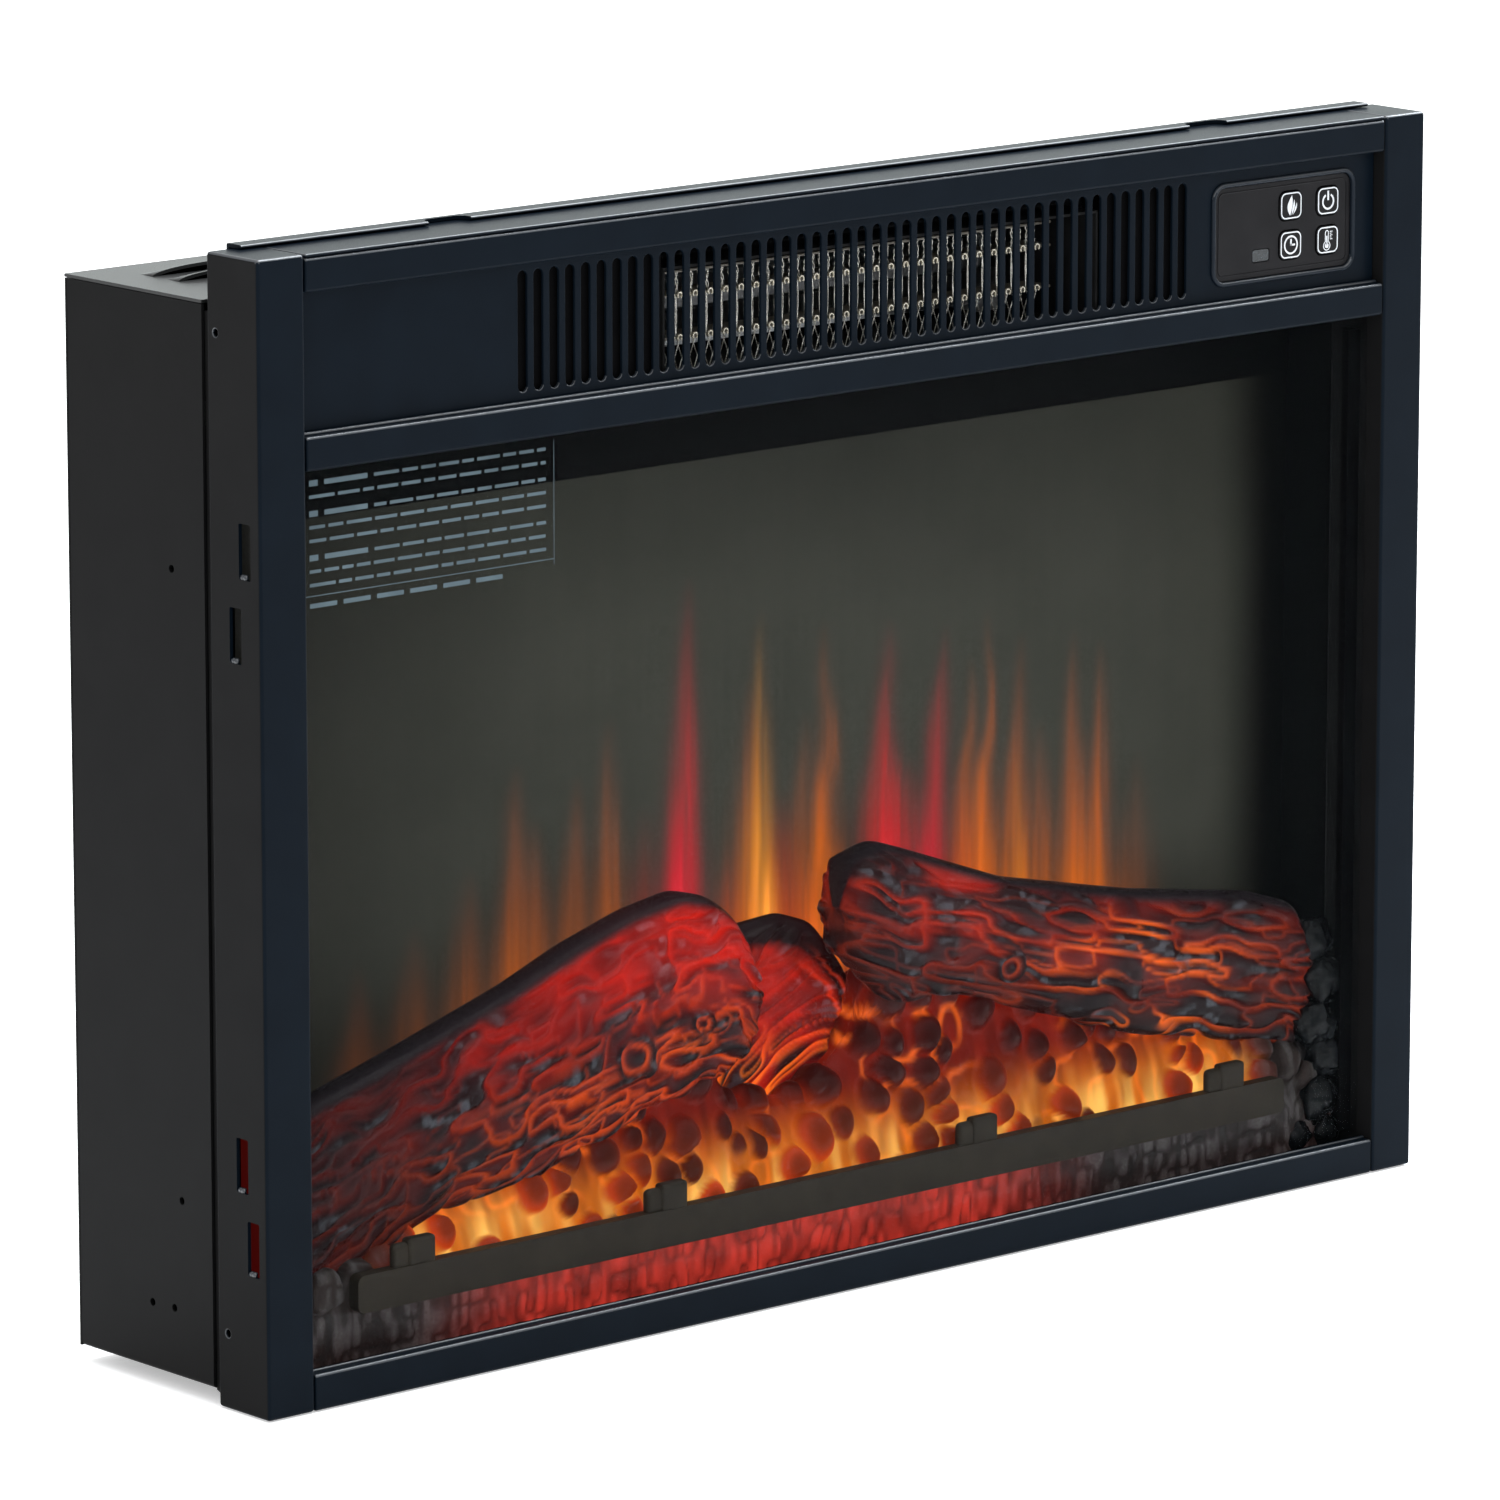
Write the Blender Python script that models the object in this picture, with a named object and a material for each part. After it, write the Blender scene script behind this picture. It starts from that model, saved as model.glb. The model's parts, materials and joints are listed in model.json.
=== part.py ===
"""Electric fireplace insert, 23-inch class, as an assembly of separate solids.

Sizes are in millimetres. A point is (x, depth, z): x runs to the right along the front,
depth runs back from the front face and z runs up from the frame's underside. place()
turns it into Blender's metres, with the origin at the centre of the base.
"""
import math

import bmesh
import bpy
from mathutils import Vector
from mathutils.geometry import tessellate_polygon

MM = 0.001
GAP = 0.3                    # clearance between neighbouring solids
SHEET = 1.2                  # steel sheet of the case and panels
TWO_PI = 2 * math.pi

# front frame
WIDTH = 585.0
HEIGHT = 428.0
FRAME_DEPTH = 30.0
STILE_WIDTH = 21.5
FRAME_WALL = 1.5
EDGE_RADIUS = 1.2
SEAM = 0.6                   # open joint between a stile and a rail
RAIL_DEPTH = 5.7
TOP_RAIL = (414.0, 426.5)    # lowest and highest z
MIDDLE_RAIL = (349.0, 363.3)
BOTTOM_RAIL = (0.0, 15.0)
HALF_WIDTH = WIDTH / 2
INNER_HALF = HALF_WIDTH - STILE_WIDTH
PANEL_HALF = INNER_HALF - SEAM

# hook slots and screw holes in a stile's side: (depth, z)
HOOK_SLOTS = [(8.9, 321.2), (14.7, 289.9), (14.1, 93.5), (8.0, 63.1)]
HOOK_SLOT_SIZE = (6.8, 20.5)
STILE_SCREW_HOLES = [(24.7, 399.0), (23.8, 28.6)]
SCREW_HOLE_RADIUS = 1.8

# angle strip over the frame's top edge
TRIM_X = (-281.5, 283.5)
TRIM_LIP_DEPTH = 23.0
TRIM_THICKNESS = 1.4
TRIM_NOTCHES = (-185.0, 196.5)
TRIM_NOTCH_SIZE = (20.0, 11.0)

# warm-air grille
GRILLE_DEPTH = 6.0
GRILLE_Z = (353.0, 425.0)
SLOT_COUNT = 45
SLOT_FIRST_X = -165.0
SLOT_PITCH = 7.54
SLOT_SIZE = (4.5, 45.0)
SLOT_MIDDLE_Z = 388.2
BACKING_DEPTH = 8.0
BACKING_SHEET = 1.0
BACKING_X = (-268.0, 181.0)

# control panel
CONTROL_CENTRE = (220.9, 388.2)
CONTROL_WINDOW = (74.2, 37.5)
CONTROL_CORNER = 5.0
OVERLAY_DEPTH = (6.2, 8.0)
KEY_SIZE = (12.0, 11.3)
KEY_CORNER = 3.0
KEY_CENTRES = {
    "key_flame": (225.0, 396.4),
    "key_power": (245.1, 396.4),
    "key_timer": (225.0, 380.9),
    "key_temperature": (245.1, 380.9),
}
KEY_BACK = 9.0               # depth of a key's back when it is up
KEY_TRAVEL = 0.5
INFRARED_CENTRE = (209.3, 378.2)
INFRARED_SIZE = (9.3, 5.2)
SWITCH_FACE = KEY_BACK + KEY_TRAVEL + GAP

# glass and fire chamber
GLASS_DEPTH = (8.0, 12.0)
RETAINER_X = 264.0
RETAINER_Z = (16.0, 342.0)
CHAMBER_FLOOR_Z = 8.0
SOFFIT_Z = 349.0
LINER_X = 274.0
CHAMBER_BACK = 57.7
SCREEN_DEPTH = (58.0, 61.0)
SCREEN_Z = (10.0, 335.0)
SCREEN_VISIBLE_TOP = 319.0
BRACKET_FRONT = 48.0

# log set
BED_HALF = 264.0
BED_FRONT = 18.8
BED_BACK = 55.5
BED_WALL = 2.0
BAR_DEPTH = (13.0, 18.5)
BAR_X = (-240.0, 234.0)
BAR_Z = (28.5, 43.0)
LUG_TOP = 53.0
LUG_HALF = 8.0
LUG_CENTRES = (-211, -88, 71, 204)

# case behind the frame
PLATE_DEPTH = (30.3, 32.3)
CASE_FRONT = 32.6
CASE_BACK = 114.0
CASE_BOTTOM = 6.0
CASE_TOP = 410.0
LOUVRE_CUTS = (71.0, 86.5)
LOUVRE_HEIGHT = 3.2
LOUVRE_REACH = 9.0
LOUVRE_ROUND = 8.0
LOUVRE_SPANS = [(-273.0, -105.0), (-84.0, 84.0), (105.0, 273.0)]
VENT_MIDDLE_Z = 310.0
VENT_SIZE = (5.0, 40.0)
VENT_PITCH = 14.0
VENTS_EACH_SIDE = 8
CASE_SIDE_HOLES = [(52.0, 309.2), (50.4, 73.5), (68.8, 31.5), (55.6, 31.9)]
CASE_HOLE_RADIUS = 1.6
GLAND_CENTRE = (250.0, 45.0)
GLAND_TIP = 121.0
FOOT_HEIGHT = CASE_BOTTOM - GAP
FOOT_X = 240.0
FOOT_DEPTH = 95.0

# heater and blower
DUCT_X = (-95.0, 125.0)
DUCT_Z = (359.0, 404.0)
DUCT_BACK = 60.0
BOARD_X = (-84.0, 114.0)
BOARD_DEPTH = (24.0, 38.0)
BOARD_LEVELS = {"mica_board_top": 399.0, "mica_board_middle": 390.0, "mica_board_bottom": 374.0}
BOARD_THICKNESS = 1.0
RIBBON_DEPTH = (27.0, 29.0)
CUTOUT_CENTRE = (36.0, 381.0)     # depth, z
PROBE_CENTRE = (-142.0, 14.0)     # x, depth
BLOWER_AXIS = (86.0, 382.0)  # depth, z
WHEEL_X = (-89.0, 118.0)
WHEEL_RADIUS = 19.0
BLADE_COUNT = 16
SHAFT_RADIUS = 3.0
SHAFT_X = (-99.0, 160.0)
HOUSING_RADIUS = 22.5
MOTOR_X = (131.0, 149.0)
MOTOR_ROTOR_RADIUS = 12.0
MAIN_BOARD_Z = 356.0

# flame light at the back
ROTOR_AXIS = (88.0, 62.0)    # depth, z
ROTOR_X = (-238.0, 204.0)
ROTOR_RADIUS = 17.0
ROTOR_HUB_RADIUS = 2.4
ROTOR_BORE_RADIUS = 2.9
ROTOR_TWIST = 2.5            # turns along its length
ROTOR_MOTOR_X = (207.0, 229.0)
MASK_DEPTH = (66.0, 67.0)
MASK_X = 262.0
MASK_Z = (98.0, 330.0)
FLAME_CENTRES = (-190, -130, -75, -20, 40, 100, 160)
FLAME_LOW = 112.0
FLAME_HALF = 17.0

FRONT = -GLAND_TIP / 2       # the front face, so that the box is centred on the origin


def place(x, depth, z):
    """A point in millimetres as a vector in metres."""
    return Vector((x * MM, (FRONT + depth) * MM, z * MM))


# ---------------------------------------------------------------- materials

PALETTE = {
    "frame_black": ((0.022, 0.026, 0.033), 0.42, 0.0),
    "case_black": ((0.030, 0.030, 0.031), 0.50, 0.0),
    "chamber_black": ((0.010, 0.010, 0.011), 0.80, 0.0),
    "gloss_black": ((0.012, 0.012, 0.014), 0.12, 0.0),
    "key_white": ((0.55, 0.56, 0.58), 0.35, 0.0),
    "infrared_grey": ((0.16, 0.17, 0.18), 0.30, 0.0),
    "clear_glass": ((0.80, 0.84, 0.84), 0.05, 0.0),
    "screen_grey": ((0.050, 0.052, 0.048), 0.45, 0.0),
    "log_resin": ((0.30, 0.09, 0.045), 0.60, 0.0),
    "ember_resin": ((0.60, 0.16, 0.04), 0.55, 0.0),
    "cast_iron": ((0.035, 0.026, 0.022), 0.70, 0.3),
    "bare_steel": ((0.50, 0.50, 0.49), 0.35, 1.0),
    "mica": ((0.62, 0.55, 0.42), 0.55, 0.0),
    "ribbon": ((0.45, 0.38, 0.30), 0.40, 1.0),
    "board_green": ((0.03, 0.14, 0.07), 0.45, 0.0),
    "copper": ((0.60, 0.27, 0.12), 0.35, 1.0),
    "mirror_foil": ((0.75, 0.76, 0.78), 0.10, 1.0),
    "matte_metal": ((0.35, 0.36, 0.37), 0.50, 1.0),
    "aluminium": ((0.60, 0.61, 0.62), 0.40, 1.0),
    "rubber": ((0.02, 0.02, 0.02), 0.85, 0.0),
}


def make_material(name):
    """Principled material from the palette."""
    colour, roughness, metallic = PALETTE[name]
    material = bpy.data.materials.new(name)
    material.use_nodes = True
    shader = material.node_tree.nodes["Principled BSDF"]
    shader.inputs["Base Color"].default_value = (*colour, 1.0)
    shader.inputs["Roughness"].default_value = roughness
    shader.inputs["Metallic"].default_value = metallic
    material.diffuse_color = (*colour, 1.0)
    return material


# ---------------------------------------------------------------- outlines

def rectangle(low_u, low_w, high_u, high_w):
    return [(low_u, low_w), (high_u, low_w), (high_u, high_w), (low_u, high_w)]


def rounded(centre, size, radius, steps=3):
    """Rectangle with round corners, anticlockwise."""
    half_u = size[0] / 2 - radius
    half_w = size[1] / 2 - radius
    points = []
    for corner, (side_u, side_w) in enumerate([(1, 1), (-1, 1), (-1, -1), (1, -1)]):
        for step in range(steps + 1):
            angle = (corner + step / steps) * math.pi / 2
            u = centre[0] + side_u * half_u + radius * math.cos(angle)
            w = centre[1] + side_w * half_w + radius * math.sin(angle)
            points.append((u, w))
    return points


def obround(centre, size, steps=4):
    """Slot with round ends along its longer side."""
    radius = min(size) / 2
    upright = size[1] > size[0]
    reach = max(size) / 2 - radius
    points = []
    for end in (0, 1):
        for step in range(steps + 1):
            angle = (end + step / steps) * math.pi - (0 if upright else math.pi / 2)
            shift = reach if end == 0 else -reach
            u = centre[0] + radius * math.cos(angle) + (0 if upright else shift)
            w = centre[1] + radius * math.sin(angle) + (shift if upright else 0)
            points.append((u, w))
    return points


def circle(centre, radius, steps=16):
    angles = [TWO_PI * step / steps for step in range(steps)]
    return [(centre[0] + radius * math.cos(a), centre[1] + radius * math.sin(a)) for a in angles]


def channel(low, high, reach_low, reach_high, wall=FRAME_WALL, radius=EDGE_RADIUS, steps=3):
    """Folded channel seen end on: (depth, w) points, open to the rear."""
    arc = [step / steps * math.pi / 2 for step in range(steps + 1)]
    points = [(reach_low, low)]
    points += [(radius - radius * math.sin(a), low + radius - radius * math.cos(a)) for a in arc]
    points += [(radius - radius * math.cos(a), high - radius + radius * math.sin(a)) for a in arc]
    points += [(reach_high, high), (reach_high, high - wall), (wall, high - wall)]
    points += [(wall, low + wall), (reach_low, low + wall)]
    return points


# ---------------------------------------------------------------- solids

TO_POINT = {
    "x": lambda u, w, t: (t, u, w),
    "depth": lambda u, w, t: (u, t, w),
    "z": lambda u, w, t: (u, w, t),
}


def solid(name, points, faces, material, origin=None, smooth=None, triangles=False):
    """Closed mesh object from points in millimetres, with its origin where it is asked."""
    if origin is None:
        lows = [min(p[i] for p in points) for i in range(3)]
        highs = [max(p[i] for p in points) for i in range(3)]
        origin = [(low + high) / 2 for low, high in zip(lows, highs)]
    base = place(*origin)
    mesh = bpy.data.meshes.new(name)
    mesh.from_pydata([place(*p) - base for p in points], [], faces)
    work = bmesh.new()
    work.from_mesh(mesh)
    if triangles:
        bmesh.ops.triangulate(work, faces=work.faces)
    bmesh.ops.recalc_face_normals(work, faces=work.faces)
    work.to_mesh(mesh)
    work.free()
    if smooth is not None:
        mesh.shade_smooth()
        mesh.set_sharp_from_angle(angle=math.radians(smooth))
    mesh.materials.append(MATERIALS[material])
    thing = bpy.data.objects.new(name, mesh)
    thing.location = base
    thing.parent = BASE
    bpy.context.scene.collection.objects.link(thing)
    return thing


def prism(name, outline, start, end, along, material, holes=(), **options):
    """Outline with holes, extruded along x, depth or z."""
    to_point = TO_POINT[along]
    loops = [outline, *holes]
    flat = [point for loop in loops for point in loop]
    count = len(flat)
    points = [to_point(u, w, start) for u, w in flat] + [to_point(u, w, end) for u, w in flat]
    caps = tessellate_polygon([[Vector((u, w, 0)) for u, w in loop] for loop in loops])
    faces = [tuple(cap) for cap in caps] + [tuple(i + count for i in cap) for cap in caps]
    first = 0
    for loop in loops:
        size = len(loop)
        for i in range(size):
            a, b = first + i, first + (i + 1) % size
            faces.append((a, b, b + count, a + count))
        first += size
    return solid(name, points, faces, material, **options)


def block(name, x, depth, z, material, **options):
    """Plain box between pairs of limits."""
    return prism(name, rectangle(x[0], z[0], x[1], z[1]), depth[0], depth[1], "depth", material, **options)


def loft(name, rings, material, closed=False, **options):
    """Skin over rings of equal length: capped at both ends, or closed on itself."""
    size = len(rings[0])
    points = [point for ring in rings for point in ring]
    faces = []
    for r in range(len(rings) if closed else len(rings) - 1):
        here, there = r * size, (r + 1) % len(rings) * size
        for i in range(size):
            j = (i + 1) % size
            faces.append((here + i, here + j, there + j, there + i))
    if not closed:
        faces.append(tuple(range(size)))
        faces.append(tuple(range(len(points) - size, len(points))))
    return solid(name, points, faces, material, **options)


def rim(name, section, centre, size, radius, material, **options):
    """Section of (outset, depth) points carried round a rectangle with round corners."""
    rings = []
    for outset, depth in section:
        grown = (size[0] + 2 * outset, size[1] + 2 * outset)
        rings.append([(u, depth, w) for u, w in rounded(centre, grown, radius + outset)])
    return loft(name, rings, material, closed=True, **options)


def stacked(name, section, centre, size, radius, material, **options):
    """Solid boss: (outset, depth) points from its back to its front, capped at both ends."""
    rings = []
    for outset, depth in section:
        grown = (size[0] + 2 * outset, size[1] + 2 * outset)
        rings.append([(u, depth, w) for u, w in rounded(centre, grown, radius + outset)])
    return loft(name, rings, material, **options)


def turned(name, profile, centre, along, material, steps=20, **options):
    """Closed (radius, t) profile, clear of its axis, turned about a line along x, depth or z."""
    to_point = TO_POINT[along]
    rings = []
    for step in range(steps):
        angle = TWO_PI * step / steps
        rings.append([to_point(centre[0] + r * math.cos(angle), centre[1] + r * math.sin(angle), t)
                      for r, t in profile])
    return loft(name, rings, material, closed=True, **options)


def rod(name, centre, radius, start, end, along, material, steps=16, **options):
    return prism(name, circle(centre, radius, steps), start, end, along, material, smooth=35, **options)


def combine(target, tool, operation):
    """Boolean modifier on target; the tool becomes a hidden guide."""
    modifier = target.modifiers.new(operation.title(), "BOOLEAN")
    modifier.operation = operation
    modifier.solver = "EXACT"
    modifier.object = tool
    tool.hide_render = True
    tool.display_type = "WIRE"


def round_edges(thing, width, segments=2):
    modifier = thing.modifiers.new("Bevel", "BEVEL")
    modifier.width = width * MM
    modifier.segments = segments
    modifier.limit_method = "ANGLE"


# ---------------------------------------------------------------- front frame

def build_stile(name, side):
    """Folded box open to the rear, with hook slots and screw holes in its outer wall."""
    outer, inner = side * HALF_WIDTH, side * INNER_HALF
    stile = block(name, sorted((outer, inner)), (0, FRAME_DEPTH - GAP), (0, HEIGHT), "frame_black")
    round_edges(stile, EDGE_RADIUS)
    hollow_x = sorted((outer - side * FRAME_WALL, inner + side * FRAME_WALL))
    hollow_z = (FRAME_WALL, HEIGHT - FRAME_WALL)
    hollow = block(name + "_hollow", hollow_x, (FRAME_WALL, FRAME_DEPTH + 5), hollow_z, "frame_black")
    combine(stile, hollow, "DIFFERENCE")
    cut_x = (outer - side * 2 * FRAME_WALL, outer + side * FRAME_WALL)
    outlines = [obround(centre, HOOK_SLOT_SIZE) for centre in HOOK_SLOTS]
    outlines += [circle(centre, SCREW_HOLE_RADIUS, 10) for centre in STILE_SCREW_HOLES]
    for number, outline in enumerate(outlines):
        cutter = prism(f"{name}_cut_{number}", outline, *cut_x, "x", "frame_black")
        combine(stile, cutter, "DIFFERENCE")


def build_rails():
    ends = (-PANEL_HALF, PANEL_HALF)
    prism("frame_rail_top", channel(*TOP_RAIL, RAIL_DEPTH, RAIL_DEPTH), *ends, "x", "frame_black")
    prism("frame_rail_middle", channel(*MIDDLE_RAIL, RAIL_DEPTH, RAIL_DEPTH), *ends, "x", "frame_black")
    floor_reach = FRAME_DEPTH - GAP
    prism("frame_rail_bottom", channel(*BOTTOM_RAIL, floor_reach, RAIL_DEPTH), *ends, "x", "frame_black")
    top = block("frame_top_plate", ends, (GAP, FRAME_DEPTH - GAP), (TOP_RAIL[1] + GAP, HEIGHT), "frame_black")
    round_edges(top, 0.4)


def build_mounting_plate():
    """U-shaped plate between frame and case, open at the top."""
    outer, inner = HALF_WIDTH - 1.2, LINER_X + 2
    low, step, high, corner = 1.4, CHAMBER_FLOOR_Z - GAP, 406.0, 4.0
    outline = [(-outer, high), (-outer, low + corner), (-outer + corner, low), (outer - corner, low),
               (outer, low + corner), (outer, high), (inner, high), (inner, step), (-inner, step),
               (-inner, high)]
    plate = prism("mounting_plate", outline, *PLATE_DEPTH, "depth", "case_black")
    hole_x, hole_radius, through = outer - 7, 2.2, 2.0
    holes = [(side * hole_x, z) for side in (-1, 1) for z in (40, 210, 380)]
    for number, centre in enumerate(holes):
        cutter = prism(f"mounting_hole_{number}", circle(centre, hole_radius, 10), PLATE_DEPTH[0] - through,
                       PLATE_DEPTH[1] + through, "depth", "case_black")
        combine(plate, cutter, "DIFFERENCE")


def build_trim_strip():
    """Angle strip over the frame's top edge, with two notches in its front lip."""
    low, under = 407.0, HEIGHT + GAP
    top = under + TRIM_THICKNESS
    back_in, lip, nose = PLATE_DEPTH[0], TRIM_LIP_DEPTH, 0.6
    back_out = back_in + TRIM_THICKNESS
    section = [(back_out, low), (back_out, top), (lip + nose, top), (lip, (top + under) / 2),
               (lip + nose, under), (back_in, under), (back_in, low)]
    strip = prism("top_trim_strip", section, *TRIM_X, "x", "frame_black")
    corner, through = 4.0, 2.0
    for number, middle in enumerate(TRIM_NOTCHES):
        outline = rounded((middle, lip), TRIM_NOTCH_SIZE, corner)
        notch = prism(f"trim_notch_{number}", outline, under - through, top + through, "z", "frame_black")
        combine(strip, notch, "DIFFERENCE")


# ---------------------------------------------------------------- grille and controls

def build_grille():
    slots = [obround((SLOT_FIRST_X + number * SLOT_PITCH, SLOT_MIDDLE_Z), SLOT_SIZE)
             for number in range(SLOT_COUNT)]
    margin = 1.3                 # the panel's opening stands clear of the bezel's skirt
    opening = (CONTROL_WINDOW[0] + 2 * margin, CONTROL_WINDOW[1] + 2 * margin)
    slots.append(rounded(CONTROL_CENTRE, opening, CONTROL_CORNER + margin))
    outline = rectangle(-PANEL_HALF, GRILLE_Z[0], PANEL_HALF, GRILLE_Z[1])
    prism("grille_panel", outline, GRILLE_DEPTH, GRILLE_DEPTH + SHEET, "depth", "frame_black", holes=slots)
    window = rectangle(DUCT_X[0] - 2, DUCT_Z[0] - 1, DUCT_X[1] + 2, DUCT_Z[1] + 10)
    outline = rectangle(BACKING_X[0], GRILLE_Z[0] + 1, BACKING_X[1], GRILLE_Z[1] - 1)
    prism("grille_backing", outline, BACKING_DEPTH, BACKING_DEPTH + BACKING_SHEET, "depth", "chamber_black",
          holes=[window])


def build_key(name, centre):
    """Cap with a crowned front face and a flange that keeps it behind the overlay."""
    flange, flange_front = 0.7, OVERLAY_DEPTH[1] + GAP
    shoulder, front = OVERLAY_DEPTH[0], 5.6
    section = [(flange, KEY_BACK), (flange, flange_front), (0.0, flange_front), (0.0, shoulder),
               (-0.6, shoulder - 0.4), (-2.0, front)]
    stacked(name, section, centre, KEY_SIZE, KEY_CORNER, "key_white", smooth=40,
            origin=(centre[0], KEY_BACK, centre[1]))


def build_controls():
    wall, lip, crest, back = 1.0, 1.7, 4.8, 9.5
    under = GRILLE_DEPTH - GAP
    section = [(0, crest + 0.4), (0.5, crest), (lip - 0.5, crest), (lip, crest + 0.5), (lip, under),
               (wall, under), (wall, back), (0, back)]
    rim("control_bezel", section, CONTROL_CENTRE, CONTROL_WINDOW, CONTROL_CORNER, "frame_black", smooth=40)
    holes = [rounded(centre, (KEY_SIZE[0] + 2 * GAP, KEY_SIZE[1] + 2 * GAP), KEY_CORNER + GAP)
             for centre in KEY_CENTRES.values()]
    corner = 1.2
    holes.append(rounded(INFRARED_CENTRE, INFRARED_SIZE, corner))
    overlay = (CONTROL_WINDOW[0] - 2 * GAP, CONTROL_WINDOW[1] - 2 * GAP)
    prism("control_overlay", rounded(CONTROL_CENTRE, overlay, CONTROL_CORNER - GAP), *OVERLAY_DEPTH, "depth",
          "gloss_black", holes=holes)
    window = rounded(INFRARED_CENTRE, (INFRARED_SIZE[0] - 2 * GAP, INFRARED_SIZE[1] - 2 * GAP), corner - GAP)
    prism("infrared_window", window, OVERLAY_DEPTH[0] + 0.2, OVERLAY_DEPTH[1], "depth", "infrared_grey")
    for name, centre in KEY_CENTRES.items():
        build_key(name, centre)
    display_depth = (OVERLAY_DEPTH[1] + GAP, OVERLAY_DEPTH[1] + 2.8)
    display = block("display_module", (190.0, 214.0), display_depth, (384.0, 402.0), "gloss_black")
    round_edges(display, 0.5, 1)
    board_half = CONTROL_WINDOW[0] / 2 - 1.5
    board_x = (CONTROL_CENTRE[0] - board_half, CONTROL_CENTRE[0] + board_half)
    board_depth = (11.2, 12.8)
    board = block("control_board", board_x, board_depth, (371.0, 405.5), "board_green")
    half = 3.0
    for name, (x, z) in KEY_CENTRES.items():
        switch = block(name + "_switch", (x - half, x + half), (SWITCH_FACE, board_depth[0] + 0.4),
                       (z - half, z + half), "board_green")
        combine(board, switch, "UNION")


# ---------------------------------------------------------------- glass and fire chamber

def stepped_plate(name, front, z, material):
    """Chamber floor or soffit: narrower between the stiles, wider behind them."""
    narrow, wide, step = PANEL_HALF, LINER_X - GAP, FRAME_DEPTH
    outline = [(-narrow, front), (narrow, front), (narrow, step), (wide, step), (wide, CHAMBER_BACK),
               (-wide, CHAMBER_BACK), (-wide, step), (-narrow, step)]
    prism(name, outline, z, z + SHEET, "z", material)


def build_chamber():
    glass = block("glass_pane", (-PANEL_HALF, PANEL_HALF), GLASS_DEPTH, (2.0, SOFFIT_Z - 1.0), "clear_glass")
    round_edges(glass, 0.6, 1)
    front, flange, sheet = GLASS_DEPTH[1] + GAP, 9.0, 1.0
    liner_front = FRAME_DEPTH - 1.4
    for name, side in (("left", -1), ("right", 1)):
        edge, web = side * RETAINER_X, side * (PANEL_HALF - sheet)
        strip = [(edge, front), (side * PANEL_HALF, front), (side * PANEL_HALF, front + flange),
                 (web, front + flange), (web, front + sheet), (edge, front + sheet)]
        prism("glass_retainer_" + name, strip, *RETAINER_Z, "z", "chamber_black")
        liner_x = sorted((side * LINER_X, side * (LINER_X + SHEET)))
        block("liner_" + name, liner_x, (liner_front, CHAMBER_BACK), (CHAMBER_FLOOR_Z, SOFFIT_Z - GAP),
              "chamber_black")
    stepped_plate("firebox_floor", GLASS_DEPTH[1] + 0.6, CHAMBER_FLOOR_Z, "chamber_black")
    stepped_plate("firebox_soffit", GLASS_DEPTH[0] + GAP, SOFFIT_Z, "chamber_black")
    screen_x = (-LINER_X - 1, LINER_X + 1)
    block("flame_screen", screen_x, SCREEN_DEPTH, SCREEN_Z, "screen_grey")
    top = SOFFIT_Z - GAP
    bracket = [(CHAMBER_BACK, SCREEN_VISIBLE_TOP), (CHAMBER_BACK, top), (BRACKET_FRONT, top),
               (BRACKET_FRONT, top - SHEET), (CHAMBER_BACK - SHEET, top - SHEET),
               (CHAMBER_BACK - SHEET, SCREEN_VISIBLE_TOP)]
    prism("screen_bracket", bracket, -LINER_X + GAP, LINER_X - GAP, "x", "chamber_black")


def build_log(name, stations, depth, half_depth, phase):
    """Lumpy log: stations are (x, middle z, half height) along its length."""
    sides = 12
    rings = []
    for number, (x, middle, half) in enumerate(stations):
        ring = []
        for side in range(sides):
            angle = TWO_PI * side / sides
            lump = 1 + 0.05 * math.sin(3 * angle + 1.3 * number + phase)
            ring.append((x, depth + half_depth * math.cos(angle), middle + half * lump * math.sin(angle)))
        rings.append(ring)
    loft(name, rings, "log_resin", smooth=60)


def build_log_set():
    left = [(-264, 71, 30), (-246, 72, 36), (-194, 90, 31), (-148, 100, 35), (-90, 118, 38), (-60, 122, 32),
            (-42, 116, 20)]
    right = [(16, 140, 18), (34, 133, 29), (71, 125, 24), (118, 110, 25), (172, 97, 27), (229, 86, 28),
             (254, 79, 22), (261, 78, 14)]
    middle_depth, half_depth = 33.0, 13.0
    build_log("log_left", left, middle_depth, half_depth, phase=0.0)
    build_log("log_right", right, middle_depth, half_depth, phase=2.0)
    build_stub((-5.0, 98.0), (40.0, 38.0))


def build_stub(centre, half):
    """Short middle log, seen on its end, between the two long ones and the screen."""
    sides, lump = 14, 0.06
    angles = [TWO_PI * side / sides for side in range(sides)]
    rings = []
    for depth, scale in ((47.5, 0.86), (51.0, 1.0), (57.0, 0.95)):
        rings.append([(centre[0] + half[0] * scale * math.cos(a), depth,
                       centre[1] + half[1] * scale * (1 + lump * math.sin(3 * a)) * math.sin(a))
                      for a in angles])
    loft("log_middle", rings, "log_resin", smooth=60)


def ember_height(x):
    """Top of the ember bed: low under the left log's end, higher elsewhere."""
    low, high, ripple = 27.0, 42.0, 2.0
    rise = min(max((x + 216) / 30, 0), 1)
    return low + (high - low + ripple * math.sin(x / 7.0)) * rise


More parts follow.
